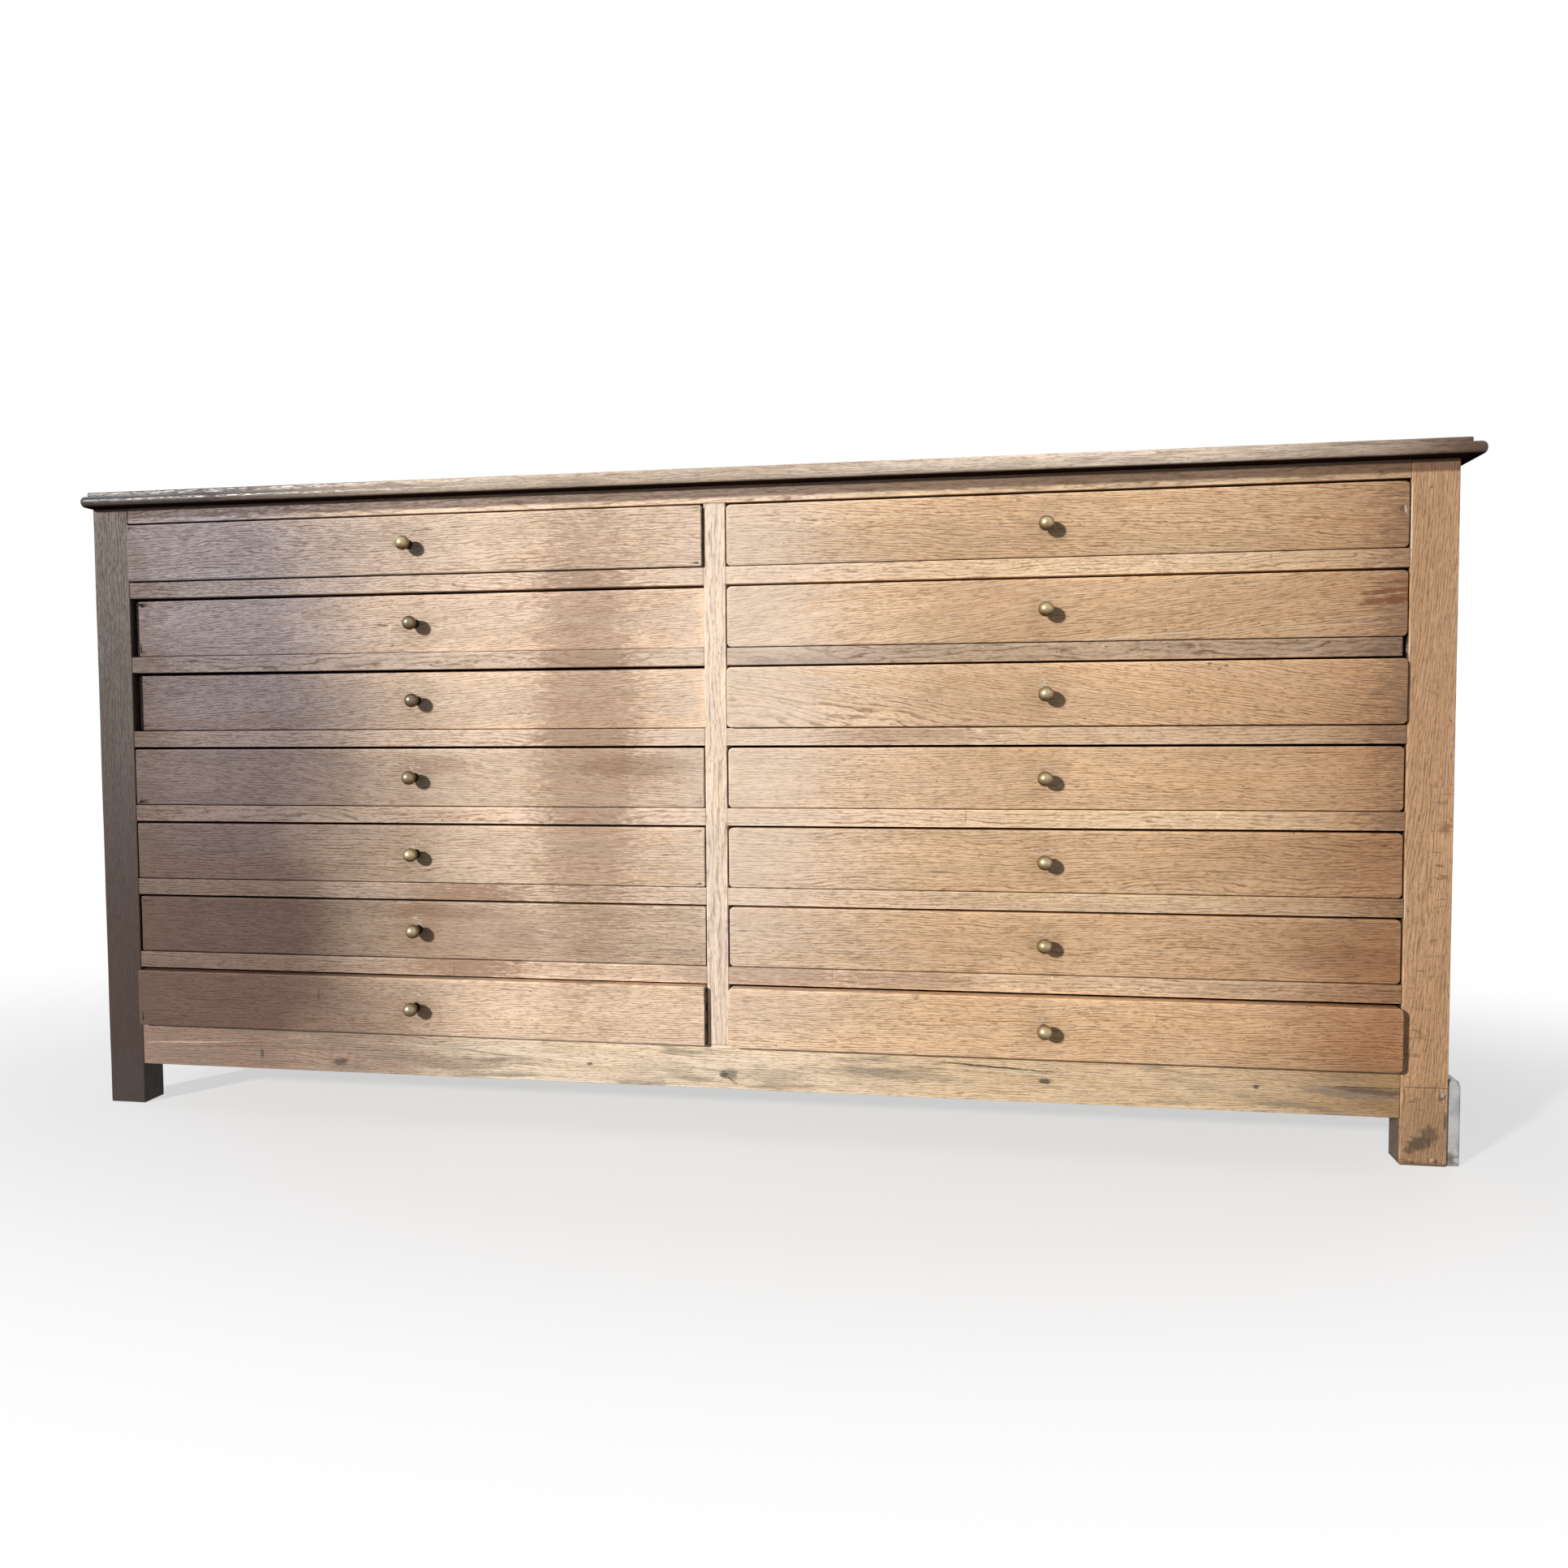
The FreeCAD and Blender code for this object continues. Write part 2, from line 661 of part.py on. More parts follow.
def tail_profile(count, low, high, shoulder, tip):
    """The four corners of each dovetail between two levels, from the shoulder out to the tip."""
    pitch = (high - low) / count
    length = tip - shoulder if tip.value > shoulder.value else shoulder - tip
    half_wide = pitch * TAIL_WIDTH_SHARE / 2
    half_narrow = half_wide - length * TAIL_SLOPE_SHARE
    tails = []
    for number in range(count):
        middle = low + pitch * (number + 1 / 2)
        tails.append([(shoulder, middle - half_narrow), (tip, middle - half_wide),
                      (tip, middle + half_wide), (shoulder, middle + half_narrow)])
    return tails


def front_tails():
    """Lapped dovetails between the sides and the front."""
    return tail_profile(FRONT_TAILS, drawer_foot, side_top, front_thickness, size("lap_thickness"))


def back_tails():
    """Through dovetails between the sides and the back."""
    return tail_profile(BACK_TAILS, bottom_top, back_top, back_front, drawer_depth)


def make_drawer_front(label, corner_radius, knob_across):
    """Drawer front with dovetail sockets, the groove for the bottom and the knob's blind hole."""
    body = new_body(label)
    outline = rectangle(ZERO, front_low, drawer_width, front_high)
    board = extrude(body, "Pad", "XZ_Plane", ZERO, front_thickness, [outline])

    def is_corner(bounds):
        return same(bounds.YLength, front_thickness.value)

    round_edges(body, board, corner_radius, is_corner)
    behind = front_thickness + overrun
    sockets = [[(behind, tail[0][1])] + tail + [(behind, tail[3][1])] for tail in front_tails()]
    extrude(body, "Pocket", "YZ_Plane", -overrun, side_thickness, sockets)
    extrude(body, "Pocket", "YZ_Plane", drawer_width - side_thickness, drawer_width + overrun, sockets)
    left = side_thickness - bottom_groove
    groove = rectangle(front_thickness - bottom_groove, bottom_level, behind, bottom_top)
    extrude(body, "Pocket", "YZ_Plane", left, drawer_width - left, [groove])
    hole = new_sketch(body, "XZ_Plane", -size("hole_depth"))
    draw_circle(hole, (knob_across, knob_level), size("shank_radius"))
    extrude_sketch(body, "Pocket", hole, size("hole_depth") + overrun)
    return body


def make_drawer_side(label, is_left):
    """Drawer side with tails at both ends and the groove for the bottom."""
    body = new_body(label)
    corners = [(front_thickness, drawer_foot), (drawer_depth, drawer_foot), (drawer_depth, bottom_top),
               (back_front, bottom_top)]
    for tail in back_tails():
        corners += tail
    corners += [(back_front, back_top), (drawer_depth, back_top), (drawer_depth, side_top),
                (front_thickness, side_top)]
    for tail in reversed(front_tails()):
        corners += reversed(tail)
    left = ZERO if is_left else drawer_width - side_thickness
    right = side_thickness if is_left else drawer_width
    extrude(body, "Pad", "YZ_Plane", left, right, [corners])
    groove = rectangle(front_thickness - bottom_groove, bottom_level, drawer_depth + overrun, bottom_top)
    groove_left = side_thickness - bottom_groove if is_left else left - overrun
    groove_right = side_thickness + overrun if is_left else left + bottom_groove
    extrude(body, "Pocket", "YZ_Plane", groove_left, groove_right, [groove])
    return body


def make_drawer_back():
    """Drawer back standing on the bottom, with the pins of the through dovetails."""
    body = new_body("drawer_back")
    outline = rectangle(ZERO, bottom_top, drawer_width, back_top)
    extrude(body, "Pad", "XZ_Plane", back_front, drawer_depth, [outline])
    before = back_front - overrun
    behind = drawer_depth + overrun
    sockets = [[(before, tail[0][1])] + tail[:2] + [(behind, tail[1][1]), (behind, tail[2][1])]
               + tail[2:] + [(before, tail[3][1])] for tail in back_tails()]
    extrude(body, "Pocket", "YZ_Plane", -overrun, side_thickness, sockets)
    extrude(body, "Pocket", "YZ_Plane", drawer_width - side_thickness, drawer_width + overrun, sockets)
    return body


def make_drawer_bottom():
    """Drawer bottom in the grooves of the front and the sides, under the back."""
    body = new_body("drawer_bottom")
    edge = side_thickness - bottom_groove
    outline = rectangle(edge, front_thickness - bottom_groove, drawer_width - edge, drawer_depth)
    extrude(body, "Pad", "XY_Plane", bottom_level, bottom_top, [outline])
    return body


def make_knob():
    """Turned brass ball on a neck and collar, with its screw shank, drawn about the Y axis."""
    body = new_body("knob")
    ball = size("ball_radius")
    neck = size("neck_radius")
    shank = size("shank_radius")
    shank_end = size("shank_length")
    collar = size("collar_radius")
    centre = ball - size("knob_reach")
    neck_end = centre.value + (ball.value ** 2 - neck.value ** 2) ** (1 / 2)
    collar_face = -size("collar_thickness")
    sketch = new_sketch(body, "XY_Plane", ZERO)
    points = [(ZERO, shank_end), (shank, shank_end), (shank, ZERO), (collar, ZERO),
              (collar, collar_face), (neck, collar_face)]
    meeting = FreeCAD.Vector(neck.value, neck_end, 0)
    tip = FreeCAD.Vector(0, -size("knob_reach").value, 0)
    side = FreeCAD.Vector(ball.value, centre.value, 0)
    path = [vector(point) for point in points] + [meeting]
    lines = [Part.LineSegment(a, b) for a, b in zip(path, path[1:])]
    sketch.addGeometry(lines + [Part.Arc(meeting, side, tip), Part.LineSegment(tip, path[0])], False)
    neck_line = len(points) - 1
    arc = neck_line + 1
    axis = arc + 1
    joins = [Sketcher.Constraint("Coincident", line, 2, line + 1, 1) for line in range(neck_line)]
    joins += [Sketcher.Constraint("Coincident", neck_line, 2, arc, 2),
              Sketcher.Constraint("Coincident", arc, 1, axis, 1),
              Sketcher.Constraint("Coincident", axis, 2, 0, 1),
              Sketcher.Constraint("Vertical", neck_line),
              Sketcher.Constraint("PointOnObject", axis, 1, -2)]
    sketch.addConstraint(joins)
    for line, point in enumerate(points):
        hold(sketch, line, 1, point)
    hold(sketch, arc, 3, (ZERO, centre))
    index = sketch.addConstraint(Sketcher.Constraint("Radius", arc, ball.value))
    sketch.setExpression("Constraints[%d]" % index, ball.formula)
    turning = body.newObject("PartDesign::Revolution", "turning")
    turning.Profile = sketch
    turning.ReferenceAxis = (sketch, ["V_Axis"])
    return body


def make_drawers():
    """Front, tray and knob of every drawer, each at its rest place."""
    tray = [make_drawer_side("drawer_left_side", True), make_drawer_side("drawer_right_side", False),
            make_drawer_back(), make_drawer_bottom()]
    knob = [make_knob()]
    columns = (
        ("left", stile_width, size("left_corner_radius"), drawer_width / 2 + size("knob_shift")),
        ("right", right_opening_left, size("right_corner_radius"), drawer_width / 2 - size("knob_shift")),
    )
    nodes = []
    for column, left, corner_radius, knob_across in columns:
        front = make_drawer_front(column + "_drawer_front", corner_radius, knob_across)
        across = left + size("drawer_side_gap")
        for row in range(1, ROWS + 1):
            name = "drawer_%s_%d" % (column, row)
            back = -size("proud_%s_%d" % (column, row))
            floor = opening_floor(row)
            nodes.append(place(group(name + "_front", [front]), across, back, floor))
            nodes.append(place(group(name + "_tray", tray), across, back, floor))
            level = floor + knob_level
            nodes.append(place(group(name + "_knob", knob), across + knob_across, back, level))
    return nodes


nodes = [
    make_top(),
    make_front_stile("left_front_stile", True),
    make_front_stile("right_front_stile", False),
    make_centre_stile(),
    make_long_rail("top_rail", size("top_rail_height"), top_rail_level, -overrun, centre_tenon_length),
    make_long_rail("bottom_rail", size("bottom_rail_height"), foot_height,
                   size("bottom_rail_height") - centre_tenon_length, size("bottom_rail_height") + overrun),
    make_drawer_rails("left_drawer_rails", tenon_length, centre_tenon_length, stile_width),
    make_drawer_rails("right_drawer_rails", centre_tenon_length, tenon_length, right_opening_left),
    make_side_panels(),
    make_side_rails(),
    make_rear_posts(),
    make_back_rails(),
    make_back_muntin(),
    make_back_panels(),
    make_partition(),
    make_skirting(),
]
nodes += make_runners_and_guides()
nodes += make_drawers()
doc.recompute()

for item in doc.Objects:
    if "Invalid" in item.State or "Error" in item.State:
        raise RuntimeError("%s did not build: %s" % (item.Label, item.State))
    if item.TypeId == "PartDesign::Pocket" and item.Shape.Volume >= item.BaseFeature.Shape.Volume:
        raise RuntimeError("a cut in %s takes nothing away" % item.getParentGeoFeatureGroup().Label)

os.makedirs("parts", exist_ok=True)
for node in nodes:
    if node.Shape.isNull() or not node.Shape.isValid() or not node.Shape.Solids:
        raise RuntimeError("%s is not a sound solid" % node.Label)
for node in nodes:
    node.Shape.exportStep("parts/%s.step" % node.Label)
    print(node.Label, len(node.Shape.Solids), round(node.Shape.Volume))
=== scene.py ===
import bpy
import numpy as np
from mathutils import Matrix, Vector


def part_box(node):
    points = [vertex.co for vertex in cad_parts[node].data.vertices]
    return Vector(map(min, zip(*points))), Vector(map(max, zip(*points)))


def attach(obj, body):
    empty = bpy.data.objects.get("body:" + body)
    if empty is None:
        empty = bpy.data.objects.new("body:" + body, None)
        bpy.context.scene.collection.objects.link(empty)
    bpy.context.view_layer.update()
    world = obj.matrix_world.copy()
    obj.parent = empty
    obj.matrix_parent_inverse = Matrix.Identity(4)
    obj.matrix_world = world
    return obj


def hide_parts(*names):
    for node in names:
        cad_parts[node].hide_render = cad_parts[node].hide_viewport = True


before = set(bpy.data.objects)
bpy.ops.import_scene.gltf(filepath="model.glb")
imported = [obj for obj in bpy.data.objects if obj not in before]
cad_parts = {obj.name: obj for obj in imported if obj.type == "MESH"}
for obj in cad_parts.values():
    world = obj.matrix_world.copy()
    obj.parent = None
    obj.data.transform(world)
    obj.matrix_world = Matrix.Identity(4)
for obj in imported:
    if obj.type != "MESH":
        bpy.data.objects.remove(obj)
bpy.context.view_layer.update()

# Looks of the type case cabinet: oak boards, brass knobs and a painted skirting board laid over the
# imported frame. Metres; the drawers face -Y.

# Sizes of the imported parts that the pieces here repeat

RAIL_HEIGHT = 0.023
SIDE_RAIL_HEIGHT = 0.062
SIDE_RAIL_THICKNESS = 0.022
POST_WIDTH = 0.070
MUNTIN_WIDTH = 0.059
BACK_RAIL_HEIGHT = 0.059
NOSE_THICKNESS = 0.016
STEP_SETBACK = 0.008
STEP_RIGHT_SETBACK = 0.015
LEFT_CORNER = 0.0025
RIGHT_CORNER = 0.0060
LAP = 0.006
SIDE_THICKNESS = 0.012
SIDE_FOOT = 0.0003
SIDE_TOP = 0.0763
FRONT_LIFT = 0.001
TAILS = 3
TAIL_SHARE = 0.7
TAIL_SLOPE = 1 / 6
KNOB_BALL = 0.00975
KNOB_COLLAR = 0.0248
KNOB_REACH = 0.0268

# Wear of the boards: how much a worn arris's radius drifts, and how far its paleness and the grime of
# the end grain reach. The last one is the least of the even steps in a board's mesh

RADIUS_DRIFT = 0.45
ARRIS_WEAR = 0.0018
END_GRIME = 0.0010
LATTICE_STEP = 0.03

# Wear of the drawer fronts, the reach of the painted shade at their ends and underneath, and the points
# along the long sides and round each corner of their outline

FRONT_ARRIS = 0.0013
FRONT_ARRIS_DRIFT = 0.6
FRONT_END_GAP_SHADE = 0.0006
FRONT_UNDER_GAP_SHADE = 0.0009
LONG_POINTS = 44
CORNER_POINTS = 7

X, Y, Z = 0, 1, 2


def corners(node):
    """Lowest and highest corner of a CAD node as arrays."""
    low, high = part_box(node)
    return np.array(low), np.array(high)


# Shapes

def drift(along, seed, shortest=0.02, longest=0.3):
    """Slow unevenness from -1 to 1: the mean of four sine waves along a distance, with seeded lengths."""
    random = np.random.default_rng(seed)
    turns = 2 * np.pi / random.uniform(shortest, longest, 4)
    starts = random.uniform(0, 2 * np.pi, 4)
    return np.sin(along[..., None] * turns + starts).mean(-1)


def board_figure(points, low, high, grain, seed, slope):
    """Place of each point in the log that the board was sawn from: the distance along the grain, then
    the two distances from the pith. The pith's place and the slope of the grain are the board's own."""
    random = np.random.default_rng(seed)
    others = sorted({X, Y, Z} - {grain}, key=lambda axis: high[axis] - low[axis], reverse=True)
    local = points - (low + high) / 2
    along, across, through = local[:, grain], local[:, others[0]], local[:, others[1]]
    angle = random.uniform(0.7, 1.4)
    reach = random.uniform(0.1, 0.3)
    return np.stack([
        along * np.cos(slope) + across * np.sin(slope) + random.uniform(-40, 40),
        across * np.cos(slope) - along * np.sin(slope) + reach * np.sin(angle),
        through + reach * np.cos(angle),
    ], 1)


def lattice_places(low, high, reach):
    """Places along one axis of a board: close together near both ends, where the arris bends and its
    wear fades, and in even steps between."""
    length = high - low
    close = np.append(np.array([0, 0.2, 0.4, 0.6, 0.8, 1]) * reach, [reach + 0.0012, reach + 0.004])
    close = close[close < length / 2 - 0.0004]
    even = np.linspace(0, length, max(2, int(length / LATTICE_STEP) + 1))
    even = even[(even > close[-1] + 0.004) & (even < length - close[-1] - 0.004)]
    return low + np.unique(np.concatenate([close, even, length - close]))


def board(low, high, grain, radius, seed, tone=0.0, rays=0.0, grey=0.0, slope=0.0, soften=None):
    """Sawn board with worn arrises. Points lie on a lattice over the six faces of the box; each is
    pulled to a box smaller by the radius and pushed out again by the radius, so that the arrises
    become arcs. The radius drifts along the grain, and soften gives a larger one where it applies."""
    low, high = np.array(low, float), np.array(high, float)
    reach = max((1 + RADIUS_DRIFT) * radius, soften[0] if soften else 0)
    places = [lattice_places(low[axis], high[axis], reach) for axis in (X, Y, Z)]
    shape = [len(row) for row in places]
    lattice = np.stack(np.meshgrid(*places, indexing="ij"), -1)
    index = np.indices(shape)
    outside = np.zeros(shape, bool)
    for axis in (X, Y, Z):
        outside |= (index[axis] == 0) | (index[axis] == shape[axis] - 1)
    numbers = np.full(shape, -1)
    numbers[outside] = np.arange(outside.sum())
    points = lattice[outside]
    quads = []
    for axis in (X, Y, Z):
        for end in (0, -1):
            side = np.take(numbers, end, axis)
            ring = [side[:-1, :-1], side[1:, :-1], side[1:, 1:], side[:-1, 1:]]
            if (end == 0) != (axis == Y):
                ring.reverse()
            quads.append(np.stack(ring, -1).reshape(-1, 4))
    bend = radius * (1 + RADIUS_DRIFT * drift(points[:, grain], seed))
    if soften:
        bend = np.where(soften[1](points), soften[0], bend)
    bend = bend[:, None]
    inner = np.clip(points, low + bend, high - bend)
    away = points - inner
    rounded = inner + away * bend / np.linalg.norm(away, axis=1, keepdims=True)
    gaps = np.minimum(points - low, high - points)
    end_grime = np.exp(-gaps[:, grain] / END_GRIME)
    gaps[:, grain] = 1
    wear = np.exp(-np.sort(gaps, 1)[:, 1] / ARRIS_WEAR)
    faces = np.concatenate(quads)
    return {
        "points": rounded,
        "faces": [faces],
        "smooth": np.full(len(faces), True),
        "grain": board_figure(rounded, low, high, grain, seed, slope),
        "edge": np.stack([wear, end_grime, 0 * wear], 1),
        "finish": np.tile([tone, rays, grey], (len(points), 1)),
    }


def front_outline(half, corner, levels, inset):
    """Rounded rectangle about its centre, drawn in by an inset that may differ from point to point:
    a point goes to the hub that it turns about, and out again by what is left of the corner radius."""
    turns = np.linspace(0, np.pi / 2, CORNER_POINTS)
    run = np.linspace(-1, 1, LONG_POINTS + 2)[1:-1] * (half[0] - corner)
    sides = [
        np.stack([run, np.full(len(run), -half[1])], 1),
        np.stack([np.full(len(levels), half[0]), levels], 1),
        np.stack([-run, np.full(len(run), half[1])], 1),
        np.stack([np.full(len(levels), -half[0]), levels[::-1]], 1),
    ]
    places = []
    for side, signs, start in zip(sides, ((1, -1), (1, 1), (-1, 1), (-1, -1)), (-1, 0, 1, 2)):
        swing = turns + start * np.pi / 2
        arc = (half - corner) * np.array(signs) + corner * np.stack([np.cos(swing), np.sin(swing)], 1)
        places += [side, arc]
    outline = np.concatenate(places)
    away = outline - np.clip(outline, corner - half, half - corner)
    away = away / np.linalg.norm(away, axis=1, keepdims=True)
    drawn = np.broadcast_to(inset, len(outline))[:, None]
    hub = np.clip(outline, np.maximum(corner, drawn) - half, half - np.maximum(corner, drawn))
    return hub + away * np.maximum(corner - drawn, 0)


def bands_between(rings, count):
    """Quads that join each ring of points to the next one, for rings of the same count."""
    here = np.arange(count)
    there = np.roll(here, -1)
    band = np.stack([here, there, there + count, here + count], 1)
    return np.concatenate([band + number * count for number in range(rings - 1)])


def drawer_front(low, high, corner, knob, seed, tone, rays, grey, slope):
    """Drawer front with worn arrises and the sockets of its lapped dovetails. The arris of the face is
    a quarter ellipse carried round a rounded rectangle, its size drifting along the way. Behind the
    lap the outline is a comb at both ends, whose gaps widen from the back towards the lap."""
    half = np.array([high[X] - low[X], high[Z] - low[Z]]) / 2
    centre = np.array([low[X] + high[X], low[Z] + high[Z]]) / 2
    pitch = (SIDE_TOP - SIDE_FOOT) / TAILS
    middles = low[Z] - FRONT_LIFT + SIDE_FOOT + pitch * (np.arange(TAILS) + 0.5) - centre[1]
    wide = pitch * TAIL_SHARE / 2
    narrow = wide - (high[Y] - low[Y] - LAP) * TAIL_SLOPE
    limit = half[1] - corner - 0.0001
    lap_levels, back_levels = (
        np.clip(np.stack([middles - reach, middles + reach], 1).ravel(), -limit, limit)
        for reach in (wide, narrow))
    outline = front_outline(half, corner, lap_levels, 0)
    count = len(outline)
    along = np.cumsum(np.linalg.norm(np.diff(outline, axis=0, prepend=outline[-1:]), axis=1))
    arris = FRONT_ARRIS * (1 + FRONT_ARRIS_DRIFT * drift(along, seed, 0.015, 0.2))

    # The loops from the lap round the arris on to the face: inset, depth and wear of each
    loops = [(0, LAP, 0), (0, arris + 0.0022, 0)]
    for turn in np.radians([0, 22.5, 45, 67.5, 90]):
        loops.append((arris * (1 - np.cos(turn)), arris * (1 - np.sin(turn)), 0.6 + 0.4 * np.sin(2 * turn)))
    loops += [(arris + step, 0, worn) for step, worn in ((0.001, 0.45), (0.0028, 0.16), (0.0065, 0))]
    rings = []
    for inset, depth, worn in loops:
        ring = front_outline(half, corner, lap_levels, inset) + centre
        rings.append(np.stack([ring[:, 0], low[Y] + depth + 0 * along, ring[:, 1], worn + 0 * along], 1))
    here = np.arange(count)
    walls = bands_between(len(loops), count)
    face = here + (len(loops) - 1) * count

    # The comb: each socket's two corners on the outline are followed by its two inner corners. The
    # outline goes round in two equal halves, and each half holds the sockets of one end
    right = LONG_POINTS + CORNER_POINTS + 2 * np.arange(TAILS)
    firsts = np.concatenate([right, right + count // 2])
    inner_start = len(loops) * count
    pairs = np.stack([firsts, firsts + 1], 1).ravel()
    inner = rings[0][pairs].copy()
    inner[:, 0] += np.where(inner[:, 0] > centre[0], -1, 1) * SIDE_THICKNESS
    lap_ids = np.insert(here, np.repeat(firsts + 1, 2), inner_start + np.arange(len(pairs)))
    front_points = np.concatenate(rings + [inner])
    back = front_points[lap_ids].copy()
    back[:, 1] = high[Y]
    for lap_level, back_level in zip(lap_levels, back_levels):
        at_ends = np.abs(back[:, 0] - centre[0]) > half[0] - SIDE_THICKNESS - 0.0001
        moved = at_ends & (np.abs(back[:, 2] - centre[1] - lap_level) < 1e-6)
        back[moved, 2] = centre[1] + back_level
    back_ids = len(front_points) + np.arange(len(lap_ids))
    comb = np.stack([back_ids, np.roll(back_ids, -1), np.roll(lap_ids, -1), lap_ids], 1)
    pair_inner = inner_start + 2 * np.arange(len(firsts))
    floors = np.stack([firsts, pair_inner, pair_inner + 1, firsts + 1], 1)
    faces = [walls, face[None], comb, floors, back_ids[None, ::-1]]
    everything = np.concatenate([front_points, back])
    points = everything[:, :3]

    # Wear is strongest on upper arrises, partly a painted highlight along the top edges, and painted shade
    # darkens the ends and the underside, where the gaps are
    to_end = np.minimum(points[:, X] - low[X], high[X] - points[:, X])
    upward = 0.35 + 0.65 * (points[:, Z] > centre[1])
    under = 0.55 * np.exp(-(points[:, Z] - low[Z]) / FRONT_UNDER_GAP_SHADE)
    painted_shade_amount = np.maximum(1.2 * np.exp(-to_end / FRONT_END_GAP_SHADE), under)
    return {
        "points": points,
        "faces": faces,
        "smooth": np.arange(sum(map(len, faces))) < len(walls),
        "grain": board_figure(points, low, high, X, seed, slope),
        "edge": np.stack([everything[:, 3] * upward, painted_shade_amount, 0 * to_end], 1),
        "finish": np.tile([tone, rays, grey], (len(points), 1)),
        "knob": np.column_stack([points[:, [X, Z]] - knob, 0 * to_end]),
    }


def turned_knob(low, high, dull):
    """Ball knob turned about the Y axis: a profile of radius and depth carried round in equal steps,
    closed at the tip and behind the collar. The ball is faintly flattened at its tip by polishing."""
    centre = (low + high) / 2
    tip = low[Y]
    polar = np.radians(np.linspace(8, 152, 22))
    ball_radius = KNOB_BALL * np.sin(polar)
    ball_depth = tip + KNOB_BALL - KNOB_BALL * np.cos(polar) * np.where(polar < 0.6, 0.995, 1)
    collar = tip + KNOB_COLLAR
    base = tip + KNOB_REACH
    profile = np.concatenate([
        [(0.0001, ball_depth[0] - 0.00005)],
        np.stack([ball_radius, ball_depth], 1),
        [(0.0039, collar - 0.0026), (0.0040, collar - 0.0012), (0.0049, collar - 0.0003)],
        [(0.0060, collar), (0.0066, collar + 0.0006), (0.0066, base - 0.0001), (0.0064, base)],
        [(0.0001, base)],
    ])
    turns = np.linspace(0, 2 * np.pi, 41)[:-1]
    radius, depth = profile[:, :1], profile[:, 1:]
    points = np.stack([
        centre[X] + radius * np.cos(turns),
        depth + 0 * turns,
        centre[Z] + radius * np.sin(turns),
    ], -1).reshape(-1, 3)
    count = len(turns)
    tip_ring = np.arange(count)
    base_ring = tip_ring + (len(profile) - 1) * count
    faces = [bands_between(len(profile), count), tip_ring[None, ::-1], base_ring[None]]
    share = (points[:, Y] - tip) / (base - tip)
    # Amount of painted shade, from none at the top of the ball to full at its underside
    knob_underside_shade = 0.5 - 0.5 * (points[:, Z] - centre[Z]) / KNOB_BALL
    return {
        "points": points,
        "faces": faces,
        "smooth": np.full(sum(map(len, faces)), True),
        "ball": np.stack([share, np.full(len(share), dull), knob_underside_shade], 1),
    }


def make_piece(name, parts, material, slot, body, *nodes):
    """Joins the parts into one mesh with its point attributes, and lets it stand for the CAD nodes."""
    starts = np.cumsum([0] + [len(part["points"]) for part in parts[:-1]])
    faces = []
    for part, start in zip(parts, starts):
        for group in part["faces"]:
            faces += (group + start).tolist()
    mesh = bpy.data.meshes.new(name)
    mesh.from_pydata(np.concatenate([part["points"] for part in parts]).tolist(), [], faces)
    mesh.polygons.foreach_set("use_smooth", np.concatenate([part["smooth"] for part in parts]))
    for label in ("grain", "edge", "finish", "knob", "ball"):
        if label in parts[0]:
            values = np.concatenate([part[label] for part in parts]).astype(np.float32)
            mesh.attributes.new(label, "FLOAT_VECTOR", "POINT").data.foreach_set("vector", values.ravel())
    mesh.materials.append(material)
    mesh.update()
    piece = bpy.data.objects.new(name, mesh)
    bpy.context.scene.collection.objects.link(piece)
    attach(piece, body)
    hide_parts(*nodes)


# Materials

FACE = corners("left_front_stile")[0][Y]
UNDER_TOP = corners("left_front_stile")[1][Z]


def linear(colour):
    """sRGB hex colour as linear red, green, blue and alpha."""
    parts = np.array([int(colour[start:start + 2], 16) for start in (1, 3, 5)]) / 255
    return (*np.where(parts <= 0.04045, parts / 12.92, ((parts + 0.055) / 1.055) ** 2.4), 1.0)


